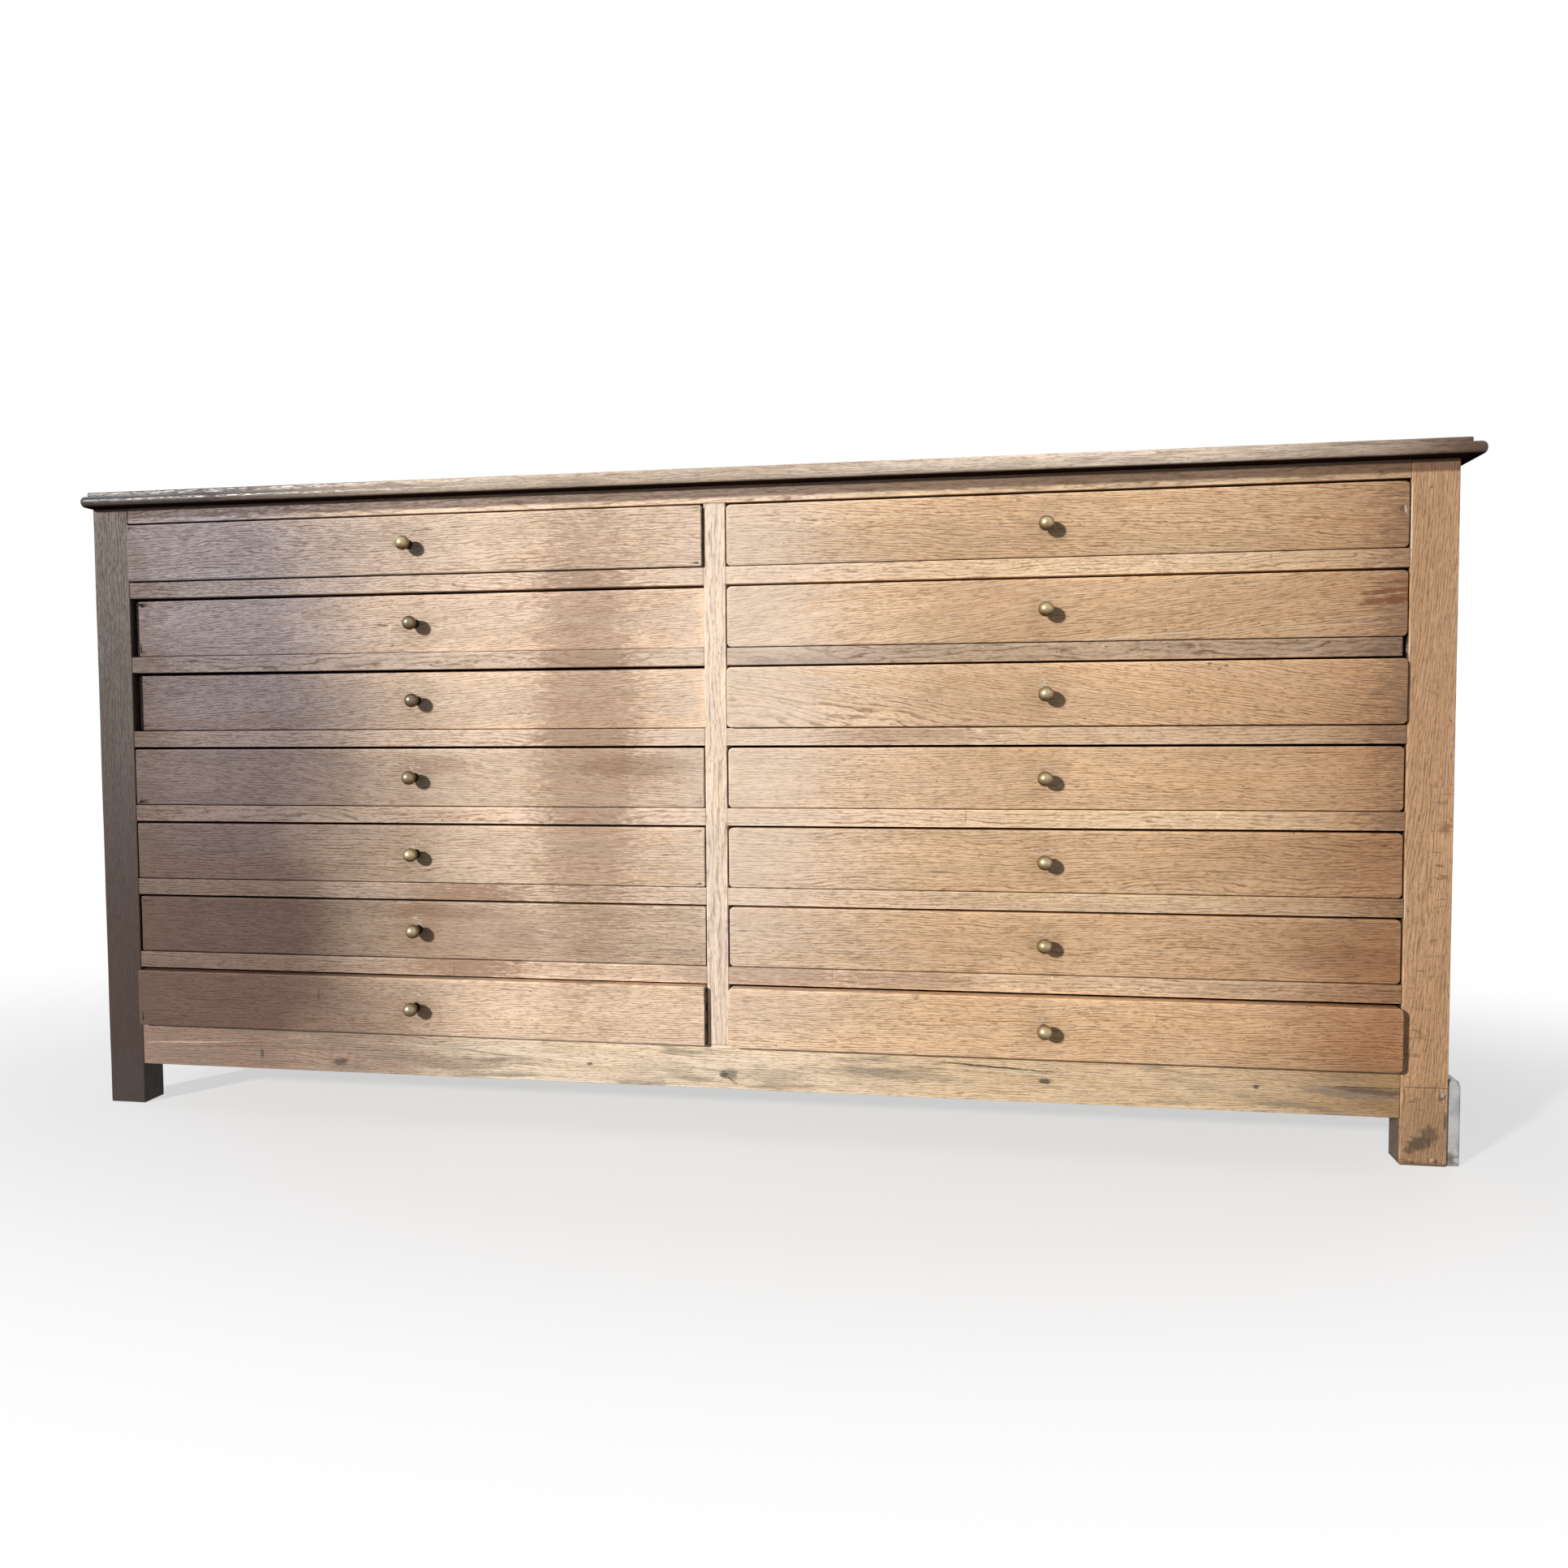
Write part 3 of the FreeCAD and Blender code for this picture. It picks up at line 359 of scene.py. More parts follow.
# What each node does, in a plain word: its kind, its settings, the inputs that the values go into in
# turn, and the output that carries the result, or None where the node gives them all
NODES = {
    "plus": ("ShaderNodeMath", {"operation": "ADD"}, (0, 1), 0),
    "minus": ("ShaderNodeMath", {"operation": "SUBTRACT"}, (0, 1), 0),
    "times": ("ShaderNodeMath", {"operation": "MULTIPLY"}, (0, 1), 0),
    "over": ("ShaderNodeMath", {"operation": "DIVIDE"}, (0, 1), 0),
    "largest": ("ShaderNodeMath", {"operation": "MAXIMUM"}, (0, 1), 0),
    "unsigned": ("ShaderNodeMath", {"operation": "ABSOLUTE"}, (0,), 0),
    "fraction": ("ShaderNodeMath", {"operation": "FRACT"}, (0,), 0),
    "close": ("ShaderNodeMath", {"operation": "COMPARE"}, (0, 1, 2), 0),
    "shift": ("ShaderNodeVectorMath", {"operation": "ADD"}, (0, 1), 0),
    "tint": ("ShaderNodeVectorMath", {"operation": "MULTIPLY"}, (0, 1), 0),
    "brighten": ("ShaderNodeVectorMath", {"operation": "SCALE"}, (0, "Scale"), 0),
    "distance": ("ShaderNodeVectorMath", {"operation": "LENGTH"}, (0,), "Value"),
    "split": ("ShaderNodeSeparateXYZ", {}, (0,), None),
    "join": ("ShaderNodeCombineXYZ", {}, (0, 1, 2), 0),
    "ease": ("ShaderNodeMapRange", {"interpolation_type": "SMOOTHSTEP"},
             ("Value", "From Min", "From Max", "To Min", "To Max"), 0),
    "blend": ("ShaderNodeMix", {"data_type": "RGBA"}, (0, 6, 7), 2),
    "either": ("ShaderNodeMix", {"data_type": "VECTOR"}, (0, 4, 5), 1),
    "place": ("ShaderNodeTexCoord", {}, (), "Object"),
    "grain": ("ShaderNodeAttribute", {"attribute_name": "grain"}, (), "Vector"),
    "edge": ("ShaderNodeAttribute", {"attribute_name": "edge"}, (), "Vector"),
    "finish": ("ShaderNodeAttribute", {"attribute_name": "finish"}, (), "Vector"),
    "knob": ("ShaderNodeAttribute", {"attribute_name": "knob"}, (), "Vector"),
    "ball": ("ShaderNodeAttribute", {"attribute_name": "ball"}, (), "Vector"),
    "lay": ("ShaderNodeMapping", {}, ("Vector", "Location", "Rotation", "Scale"), 0),
    "ellipse": ("ShaderNodeMapping", {"vector_type": "TEXTURE"},
                ("Vector", "Location", "Rotation", "Scale"), 0),
    "noise": ("ShaderNodeTexNoise", {}, ("Vector", "Scale", "Detail", "Roughness"), 0),
    "bump": ("ShaderNodeBump", {}, ("Height", "Distance", "Strength"), 0),
    "surface": ("ShaderNodeBsdfPrincipled", {},
                ("Base Color", "Roughness", "Normal", "Metallic", "IOR", "Specular IOR Level"), 0),
    "matt": ("ShaderNodeBsdfDiffuse", {}, ("Color",), 0),
    "glow": ("ShaderNodeEmission", {}, ("Color", "Strength"), 0),
    "backdrop": ("ShaderNodeBackground", {}, ("Color", "Strength"), 0),
    "share": ("ShaderNodeMixShader", {}, (0, 1, 2), 0),
    "rays": ("ShaderNodeLightPath", {}, (), None),
    "material": ("ShaderNodeOutputMaterial", {}, (0,), None),
    "world": ("ShaderNodeOutputWorld", {}, (0,), None),
}


def add(tree, word, *values):
    """Adds the node of a word with its settings, links or sets its inputs, and gives its result. The
    values that are left over go with the result into another such node."""
    kind, settings, inputs, output = NODES[word]
    node = tree.nodes.new(kind)
    for name, setting in settings.items():
        setattr(node, name, setting)
    for name, value in zip(inputs, values):
        if isinstance(value, bpy.types.NodeSocket):
            tree.links.new(value, node.inputs[name])
        else:
            node.inputs[name].default_value = value
    result = node.outputs if output is None else node.outputs[output]
    rest = values[len(inputs):]
    return add(tree, word, result, *rest) if rest else result


def empty_tree(owner):
    """Node tree of a material or a world, cleared."""
    owner.use_nodes = True
    owner.node_tree.nodes.clear()
    return owner.node_tree


def cloud(tree, place, turns, detail, rough, start=(0, 0, 0)):
    """Uneven blotches, strands or specks: noise over a place that is stretched first. The turns per
    metre are 1 over the size of a blotch, one number or one for each axis."""
    stretched = add(tree, "lay", place, start, (0, 0, 0), tuple(np.ones(3) * turns))
    return add(tree, "noise", stretched, 1.0, detail, rough)


def swing(tree, noise, width):
    """Noise swung about zero: what it has over a half, times a width."""
    return add(tree, "times", add(tree, "minus", noise, 0.5), width)


def marks(tree, place, ragged, table):
    """Largest of several soft ellipses on the front plane. A row gives the middle's X and Z, the half
    length and half height in metres, the turn in degrees and the strength."""
    total = 0.0
    for across, up, length, height, turn, strength in table:
        spot = add(tree, "ellipse", place, (across, 0, up), (0, -np.radians(turn), 0), (length, 1, height))
        away = add(tree, "distance", add(tree, "tint", spot, (1, 0, 1)))
        frayed = add(tree, "plus", away, ragged)
        total = add(tree, "largest", total, add(tree, "ease", frayed, 1.25, 0.55, 0.0, strength))
    return total


# Growth rings are 2.8 mm wide. Pores are 0.3 mm wide in the real wood, in rows up to 60 mm long, and are
# drawn 1 mm wide so that they show. Ray flecks are 2 to 15 mm long.
RING_WIDTH = 0.0028
PORES_ALONG = 1 / 0.010
PORES_ACROSS = 1 / 0.0010

# Colours of the old finish by place: high on the left, low on the left, in the middle, right of the
# middle, and at the right end. They hold painted light and shade over the wood's own greyed and tan
# tones: painted shade darkens and greys the left, and painted light brightens the middle.
DRAWER_TONE_AND_LIGHT = ("#90858a", "#634a3f", "#f3d9bf", "#e9c6a0", "#ac805c")
RAIL_TONE_AND_LIGHT = ("#8e8284", "#7c665b", "#f3dac3", "#eccfae", "#a77f5d")
FOOT_RAIL_TONE_AND_LIGHT = ("#a08c80", "#9a8072", "#fcead2", "#edd3b0", "#ac8d68")
TOP_TONE_AND_LIGHT = ("#403530", "#403530", "#cdbcab", "#ecdccc", "#6a503c")
LEFT_STILE_FINISH = ("#544842", "#33211a", "#5c4f48", "#5c4f48", "#5c4f48")
RIGHT_STILE_FINISH = ("#c7a17e",) * 5

# Stains and dirt, and painted light and shade
SOOT = "#3b342e"
RUST = "#7b4a2b"
LIME = "#f0e3d2"
# Painted light in a bright band down the middle, and painted shade in darker patches
PAINTED_LIGHT = "#fbead9"
PAINTED_SHADE = "#a4836b"
# Painted shade at the ends of the cabinet, deepest at the left end of the top
PAINTED_END_SHADE = "#5e483a"
PAINTED_LEFT_END_SHADE = "#2f2925"
OILED_FOOT = "#7d6449"
WASHED_GREY = "#857a6f"
RAIL_GREY = "#a79a93"
# Dark joints, and painted shade in the gaps at the ends and under the drawer fronts
JOINT_GRIME_AND_GAP_SHADE = "#241711"
SPECK = "#3a2a20"
WEATHERED = "#877a6b"
CRACK = "#4b3c31"
# Painted shadow under the top's overhang, and painted shade in the gaps beside the drawers
PAINTED_OVERHANG_SHADOW = "#4a2c1f"
PAINTED_GAP_SHADE = "#150e0a"
GREASE = "#8a6a4e"
SCUFF = "#e9dccb"
# Painted shade on the underside of the top
PAINTED_UNDERSIDE_SHADE = "#2b1c14"

# Brass, and the paint of the skirting board
PALE_GOLD = "#cab893"
TARNISH = "#9d8b68"
DULLED = "#7d7266"
# Painted shade on the knob's underside and collar, and tarnish with painted shade on its neck
BRASS_PAINTED_UNDERSIDE_SHADE = "#5e4a2c"
BRASS_NECK_TARNISH_AND_SHADE = "#6b5c3e"
BRASS_PAINTED_COLLAR_SHADE = "#20170f"
OFF_WHITE = "#cfd1d2"
BLUE_SCUFF = "#7d868f"
FLOOR_DIRT = "#6d675f"
CHIPPED_WOOD = "#7a6248"

# Oil, wax and paint have an IOR of about 1.5, and a metal keeps the default one
NOT_METAL, METAL = 0.0, 1.0
COATING_IOR = 1.5

# What the figure does to the red, green and blue of the wood: ruddy bands, pores, shining rays, and
# arrises rubbed pale
RUDDY = (0.97, 0.935, 0.88)
PORE = (0.37, 0.29, 0.23)
RAY = (1.34, 1.32, 1.26)
RUBBED = (1.36, 1.38, 1.40)


def finish_and_light_colour(tree, place, grey, finish):
    """Colour of the old finish by place, with its painted light and shade, its borders frayed by slow noise.
    """
    high_left, low_left, middle, right, right_end = map(linear, finish)
    part = add(tree, "split", place)
    sway = swing(tree, cloud(tree, place, 3.0, 2.0, 0.5), 0.36)
    across = add(tree, "plus", part[X], sway)
    level = add(tree, "plus", part[Z], sway)
    left_end = add(tree, "blend", add(tree, "ease", level, 0.80, 0.25), high_left, low_left)
    left = add(tree, "blend", add(tree, "ease", across, -0.66, -0.32), left_end, middle)
    inner = add(tree, "blend", add(tree, "ease", across, 0.02, 0.40), left, right)
    whole = add(tree, "blend", add(tree, "ease", across, 0.55, 0.92), inner, right_end)
    return add(tree, "blend", grey, whole, high_left)


def plain_grain(tree, place, direction, cross_boards):
    """Grain of a part that keeps its CAD mesh: its place, turned so that the grain runs along it, and
    turned to run from front to back in the upright boards whose middles are given."""
    grain = add(tree, "lay", place, (3.1, 0.21, 0.13), direction)
    if cross_boards:
        across = add(tree, "split", place)[X]
        inside = [add(tree, "close", across, middle, SIDE_THICKNESS / 2) for middle in cross_boards]
        turned = add(tree, "lay", place, (5.3, 0.17, 0.11), (0, 0, np.pi / 2))
        grain = add(tree, "either", add(tree, "largest", *inside), grain, turned)
    return grain


def oak(name, finish=None, base=None, direction=None, pores=0.8, rough=0.5, weathered=0.0, painted_shade_amount=0.0,
        fray=(60, 60, 260), stains_and_painted_light=(), knob=False, underside_shade_level=None, cross_rays=0.0, cross_boards=()):
    """Oiled open-pore oak. Rings, pores and rays come from each board's own place in its log, so the
    figure runs straight on a quartered face and arches on a plain one; the open pores look like rows of
    dark dashes, the rays like paler curls, and handled arrises are rubbed pale. Its colour goes by
    place with a finish, which holds painted light and shade, and is the same all over with a base.
    Painted light and shade in patches, a painted shadow under the top and painted shade in the gaps
    and on the top's underside can be laid over it."""
    material = bpy.data.materials.new(name)
    tree = empty_tree(material)
    place = add(tree, "place")
    grain = plain_grain(tree, place, direction, cross_boards) if direction else add(tree, "grain")
    wear, joint_grime_and_gap_shade = add(tree, "split", add(tree, "edge"))[:2]
    tone, rays, grey = add(tree, "split", add(tree, "finish"))

    # Rings about the pith, bent by waves 220 mm long and 60 mm wide and by ripples of 57 by 9 mm
    bend = cloud(tree, grain, (4.48, 16, 16), 2.0, 0.5)
    ripple = cloud(tree, grain, (17.6, 110, 110), 2.0, 0.5)
    radius = add(tree, "distance", add(tree, "tint", grain, (0, 1, 1)))
    bent = add(tree, "plus", radius, add(tree, "times", bend, 0.020), add(tree, "times", ripple, 0.0060))
    ring = add(tree, "fraction", add(tree, "over", bent, RING_WIDTH))
    early = add(tree, "largest", add(tree, "ease", ring, 0.5, 0.0), add(tree, "ease", ring, 0.88, 1.0))

    # Pores follow the rings, because they are looked up along the same bent grain. They are open in
    # runs of 30 by 4 mm
    bent_grain = add(tree, "shift", grain, add(tree, "join", 0.0, add(tree, "times", bend, 0.02)))
    dashes = cloud(tree, bent_grain, (PORES_ALONG, PORES_ACROSS, PORES_ACROSS), 1.5, 0.5)
    runs = cloud(tree, bent_grain, (34, 240, 240), 3.0, 0.65, (1, 5, 2))
    lines = add(tree, "times", add(tree, "ease", ring, 0.36, 0.08), add(tree, "ease", runs, 0.40, 0.60))
    rows = add(tree, "plus", dashes, add(tree, "times", early, 0.05))
    pore = add(tree, "largest", add(tree, "ease", rows, 0.53, 0.68, 0.0, 0.75), lines)

    # Fibres of 45 by 2 mm and broad bands of 600 by 60 mm. Rays are curls 30 mm long, 6 mm across and
    # 14 mm through, broken up every 5 to 14 mm, in quartered places of 170 by 33 mm
    fibre = cloud(tree, bent_grain, (22, 480, 480), 3.0, 0.6)
    broad = cloud(tree, grain, (1.6, 16, 16), 3.0, 0.55)
    curls = cloud(tree, bent_grain, (34, 170, 70), 1.0, 0.4, (7, 3, 1))
    off_curl = add(tree, "unsigned", add(tree, "minus", curls, 0.5))
    quartered = add(tree, "ease", cloud(tree, grain, (6, 30, 30), 1.0, 0.5, (2, 8, 4)), 0.46, 0.60)
    broken = add(tree, "ease", cloud(tree, bent_grain, (70, 190, 90), 1.0, 0.5, (1, 6, 3)), 0.47, 0.55)
    fleck = add(tree, "times", add(tree, "ease", off_curl, 0.024, 0.008), quartered, broken, rays)

    colour = linear(base)[:3] if base else finish_and_light_colour(tree, place, grey, finish)
    level = add(tree, "plus", 1.12, tone, swing(tree, broad, 0.6), swing(tree, fibre, 0.8),
                add(tree, "times", early, -0.14))
    plain = add(tree, "brighten", colour, level)
    bands = add(tree, "ease", cloud(tree, grain, (5, 70, 70), 3.0, 0.6, (6, 2, 2)), 0.40, 0.66)
    wood = add(tree, "blend", bands, plain, add(tree, "tint", plain, RUDDY))
    deep = add(tree, "tint", wood, PORE)
    bright = add(tree, "tint", wood, RAY)
    shaded = add(tree, "blend", add(tree, "times", pore, pores), wood, deep)
    shaded = add(tree, "blend", add(tree, "times", fleck, 0.8), shaded, bright)
    if cross_rays:
        # Dark rays across the grain, 7 by 24 mm
        flames = add(tree, "ease", cloud(tree, bent_grain, (150, 42, 42), 2.0, 0.55, (3, 9, 5)),
                     0.56, 0.66, 0.0, cross_rays)
        flames = add(tree, "times", flames, add(tree, "ease", broad, 0.42, 0.58))
        shaded = add(tree, "blend", flames, shaded, deep)

    # Rubbed arrises, grime in the joints and, on the drawer fronts, painted shade in the gaps at their ends
    # and underneath, and specks of dirt and of lime a few millimetres long
    patches = cloud(tree, place, 60.0, 2.0, 0.6)
    rubbed = add(tree, "times", wear, add(tree, "ease", patches, 0.32, 0.58), 0.9)
    shaded = add(tree, "blend", rubbed, shaded, add(tree, "tint", wood, RUBBED))
    shaded = add(tree, "blend", add(tree, "times", joint_grime_and_gap_shade, 0.75), shaded, linear(JOINT_GRIME_AND_GAP_SHADE))
    specks = add(tree, "ease", cloud(tree, place, (156, 260, 260), 1.0, 0.5), 0.765, 0.80, 0.0, 0.7)
    shaded = add(tree, "blend", specks, shaded, linear(SPECK))
    limed = add(tree, "ease", cloud(tree, place, (165, 330, 330), 1.0, 0.5, (5, 2, 9)),
                0.775, 0.81, 0.0, 0.45)
    shaded = add(tree, "blend", limed, shaded, bright)

    if weathered:
        # Grey streaks of 140 by 17 mm, and fine cracks 110 mm long
        streaks = add(tree, "ease", cloud(tree, grain, (7, 60, 60), 4.0, 0.65, (4, 4, 4)),
                      0.50, 0.64, 0.0, weathered)
        shaded = add(tree, "blend", streaks, shaded, linear(WEATHERED))
        cracks = add(tree, "ease", cloud(tree, bent_grain, (9, 240, 240), 2.0, 0.6, (6, 1, 2)),
                     0.66, 0.72, 0.0, 0.8 * weathered)
        shaded = add(tree, "blend", cracks, shaded, linear(CRACK))
    if painted_shade_amount:
        # Painted shadow of the top's overhang on the face in the upper 14 to 18 mm, and painted shade behind
        # the face on the stiles' inner sides, in the gaps beside the drawers, fading out from 870 to 885 mm
        # beside the middle
        part = add(tree, "split", place)
        under = add(tree, "times", add(tree, "ease", part[Z], UNDER_TOP - 0.018, UNDER_TOP - 0.014),
                    add(tree, "ease", part[Y], FACE + 0.003, FACE + 0.001, 0.0, painted_shade_amount))
        shaded = add(tree, "blend", under, shaded, linear(PAINTED_OVERHANG_SHADOW))
        inside = add(tree, "times", add(tree, "ease", part[Y], FACE + 0.002, FACE + 0.006),
                     add(tree, "ease", add(tree, "unsigned", part[X]), 0.885, 0.870, 0.0, 0.85))
        shaded = add(tree, "blend", inside, shaded, linear(PAINTED_GAP_SHADE))

    # Stains, knots, cracks and nail holes at their own places, and patches of painted light and shade
    ragged = swing(tree, cloud(tree, place, fray, 3.0, 0.7), 2.0)
    dent = 0.0
    for colour, table in stains_and_painted_light:
        mark = marks(tree, place, ragged, table)
        shaded = add(tree, "blend", mark, shaded, linear(colour))
        if colour == SOOT:
            dent = add(tree, "largest", dent, mark)
    if knob:
        # Scuffs from fingertips above the knob, and a darker greasy patch round it
        reach = add(tree, "knob")
        above = add(tree, "ellipse", reach, (0.001, 0.014, 0), (0, 0, 0), (0.016, 0.009, 1))
        scratched = add(tree, "ease", cloud(tree, place, (170, 170, 700), 3.0, 0.6), 0.52, 0.60)
        scuffs = add(tree, "times", add(tree, "ease", add(tree, "distance", above), 1.2, 0.3), scratched, 0.8)
        grease = add(tree, "ease", add(tree, "distance", reach), 0.045, 0.008, 0.0, 0.22)
        shaded = add(tree, "blend", grease, shaded, linear(GREASE))
        shaded = add(tree, "blend", scuffs, shaded, linear(SCUFF))

    height = add(tree, "plus", add(tree, "times", pore, -0.22), add(tree, "times", fibre, 0.10),
                 add(tree, "times", broad, 0.6), add(tree, "times", dent, -0.15))
    specular = 0.4
    if underside_shade_level:
        # Painted shade on the underside of the top: darkened, and without a sheen
        hidden = add(tree, "ease", add(tree, "split", place)[Z], underside_shade_level + 0.004, underside_shade_level + 0.001)
        shaded = add(tree, "blend", hidden, shaded, linear(PAINTED_UNDERSIDE_SHADE))
        specular = add(tree, "minus", specular, add(tree, "times", hidden, specular))
    gloss = add(tree, "plus", rough, add(tree, "times", pore, 0.2), swing(tree, patches, 0.25))
    bump = add(tree, "bump", height, 0.001, 0.75)
    add(tree, "material", add(tree, "surface", shaded, gloss, bump, NOT_METAL, COATING_IOR, specular))
    return material


def aged_brass():
    """Turned brass, once lacquered and now dulled by hands: satin and pale gold on the ball, with brown
    tarnish where fingers don't reach, and turning marks 0.4 mm apart. Painted shade darkens the ball's
    underside and, together with the tarnish, its neck and collar, standing in for its shaded side and
    dark rim."""
    material = bpy.data.materials.new("aged_turned_brass")
    tree = empty_tree(material)
    place = add(tree, "place")
    inward, dull, knob_underside_shade = add(tree, "split", add(tree, "ball"))
    tarnish = add(tree, "ease", cloud(tree, place, 190.0, 3.0, 0.6), 0.42, 0.68, 0.0, 0.8)
    brass = add(tree, "blend", tarnish, linear(PALE_GOLD), linear(TARNISH))
    brass = add(tree, "blend", dull, brass, linear(DULLED))
    brass = add(tree, "blend", add(tree, "ease", knob_underside_shade, 0.35, 0.95), brass, linear(BRASS_PAINTED_UNDERSIDE_SHADE))
    brass = add(tree, "blend", add(tree, "ease", inward, 0.10, 0.48), brass, linear(BRASS_NECK_TARNISH_AND_SHADE))
    brass = add(tree, "blend", add(tree, "ease", inward, 0.44, 0.66), brass, linear(BRASS_PAINTED_COLLAR_SHADE))
    turning = cloud(tree, place, (60, 2600, 60), 1.0, 0.5)
    roughness = add(tree, "plus", 0.33, add(tree, "times", tarnish, 0.2))
    bump = add(tree, "bump", turning, 0.00004, 0.6)
    add(tree, "material", add(tree, "surface", brass, roughness, bump, METAL))
    return material


def painted_board():
    """Softwood skirting under old off-white gloss paint: brush lines 1 mm apart along it, blue-grey
    scuffs, chipped arrises, and dirt rubbed in towards the floor."""
    material = bpy.data.materials.new("brushed_gloss_paint")
    tree = empty_tree(material)
    place = add(tree, "place")
    wear = add(tree, "split", add(tree, "edge"))[0]
    level = add(tree, "split", place)[Z]
    smudge = add(tree, "ease", cloud(tree, place, (26, 10.4, 26), 3.0, 0.6), 0.44, 0.70, 0.0, 0.6)
    paint = add(tree, "blend", smudge, linear(OFF_WHITE), linear(BLUE_SCUFF))
    blotches = add(tree, "ease", cloud(tree, place, 70.0, 3.0, 0.5), 0.4, 0.6)
    dirt = add(tree, "times", add(tree, "ease", level, 0.05, 0.0), blotches)
    paint = add(tree, "blend", dirt, paint, linear(FLOOR_DIRT))
    chips = add(tree, "times", wear, add(tree, "ease", cloud(tree, place, 55.0, 2.0, 0.5), 0.55, 0.60))
    paint = add(tree, "blend", chips, paint, linear(CHIPPED_WOOD))
    brush = cloud(tree, place, (900, 12, 900), 2.0, 0.5)
    roughness = add(tree, "plus", 0.32, add(tree, "times", smudge, 0.3))
    bump = add(tree, "bump", brush, 0.0002, 0.5)
    add(tree, "material", add(tree, "surface", paint, roughness, bump, NOT_METAL, COATING_IOR))
    return material


# Fronts: oiled oak with a silky sheen, its pores open and dark, greyed and darkened to the left and at
# the ends by painted shade and brightened in the middle by painted light, with painted patches of both
front_oak = oak("oiled_oak_fronts", DRAWER_TONE_AND_LIGHT, pores=0.92, knob=True, stains_and_painted_light=(
    (PAINTED_SHADE, ((-0.19, 0.53, 0.080, 0.36, 0, 0.55), (0.34, 0.62, 0.10, 0.22, 0, 0.2),
              (-0.37, 0.265, 0.12, 0.06, 0, 0.45))),
    (PAINTED_END_SHADE, ((-0.90, 0.45, 0.08, 0.70, 0, 0.5), (0.90, 0.68, 0.09, 0.34, 0, 0.5))),
    (PAINTED_LIGHT, ((0.03, 0.56, 0.11, 0.36, 0, 0.42), (-0.35, 0.56, 0.08, 0.36, 0, 0.15))),
    (RUST, (
        (0.842, 0.711, 0.045, 0.0030, 4, 0.8), (0.846, 0.700, 0.050, 0.0045, 5, 0.85),
        (0.852, 0.722, 0.036, 0.0026, 3, 0.75), (0.866, 0.708, 0.016, 0.022, 0, 0.75),
        (-0.41, 0.292, 0.09, 0.012, 0, 0.35), (-0.12, 0.497, 0.09, 0.016, 0, 0.35),
        (-0.40, 0.497, 0.05, 0.014, 0, 0.3), (0.80, 0.255, 0.10, 0.02, 0, 0.25))),
    (SOOT, (
        (-0.743, 0.711, 0.006, 0.003, 0, 0.6), (-0.678, 0.697, 0.004, 0.002, 0, 0.5),
        (-0.488, 0.694, 0.009, 0.0016, -3, 0.7), (-0.474, 0.665, 0.003, 0.002, 0, 0.5),
        (-0.683, 0.146, 0.004, 0.003, 0, 0.6), (-0.587, 0.170, 0.002, 0.010, 0, 0.6),
        (0.623, 0.6245, 0.003, 0.002, 0, 0.6), (0.643, 0.622, 0.003, 0.002, 0, 0.6),
        (0.846, 0.808, 0.003, 0.004, 0, 0.6))),
    (LIME, (
        (0.54, 0.6612, 0.090, 0.0007, 3.4, 0.85), (0.74, 0.6697, 0.11, 0.0005, 1.6, 0.55),
        (0.80, 0.6790, 0.050, 0.0005, 4, 0.5),
        (0.8346, 0.7369, 0.008, 0.0015, 0, 0.7), (0.573, 0.672, 0.0006, 0.008, 20, 0.5),
        (0.850, 0.808, 0.0012, 0.005, 10, 0.7))),
))

# Left stile: oak under old dark wax, its pores filled, so that it looks nearly plain
stile_dark_oak = oak(
    "dark_waxed_oak_stile", LEFT_STILE_FINISH, pores=0.35, rough=0.48, painted_shade_amount=0.6, fray=(90, 60, 40),
    stains_and_painted_light=((SOOT, ((-0.898, 0.010, 0.09, 0.06, 0, 0.5),)),))

# Right stile: tan oak sawn across its rays, with dark flames across the grain and black stains at its foot
stile_tan_oak = oak("tan_oak_stile", RIGHT_STILE_FINISH, painted_shade_amount=0.7, cross_rays=0.75,
                    fray=(170, 60, 130), stains_and_painted_light=(
    (OILED_FOOT, ((0.884, 0.040, 0.06, 0.060, 0, 0.35), (0.895, 0.045, 0.026, 0.030, 30, 0.4))),
    (SOOT, (
        (0.9040, 0.0876, 0.005, 0.005, 0, 0.65), (0.879, 0.0285, 0.016, 0.009, 20, 0.75),
        (0.891, 0.0395, 0.010, 0.012, 20, 0.6), (0.868, 0.0200, 0.008, 0.006, 0, 0.6),
        (0.9085, 0.057, 0.002, 0.012, 0, 0.6), (0.884, 0.0015, 0.05, 0.0035, 0, 0.5),
        (0.879, 0.834, 0.0015, 0.0015, 0, 0.8), (0.898, 0.0066, 0.004, 0.003, 0, 0.7),
        (0.892, 0.0985, 0.04, 0.0006, 0, 0.8))),
    (LIME, ((0.8573, 0.790, 0.0007, 0.050, 0, 0.9), (0.8573, 0.640, 0.0007, 0.020, 0, 0.7),
            (0.8573, 0.330, 0.0006, 0.030, 0, 0.6), (0.905, 0.0900, 0.002, 0.003, 0, 0.5),
            (0.894, 0.0080, 0.003, 0.002, 0, 0.5))),
))

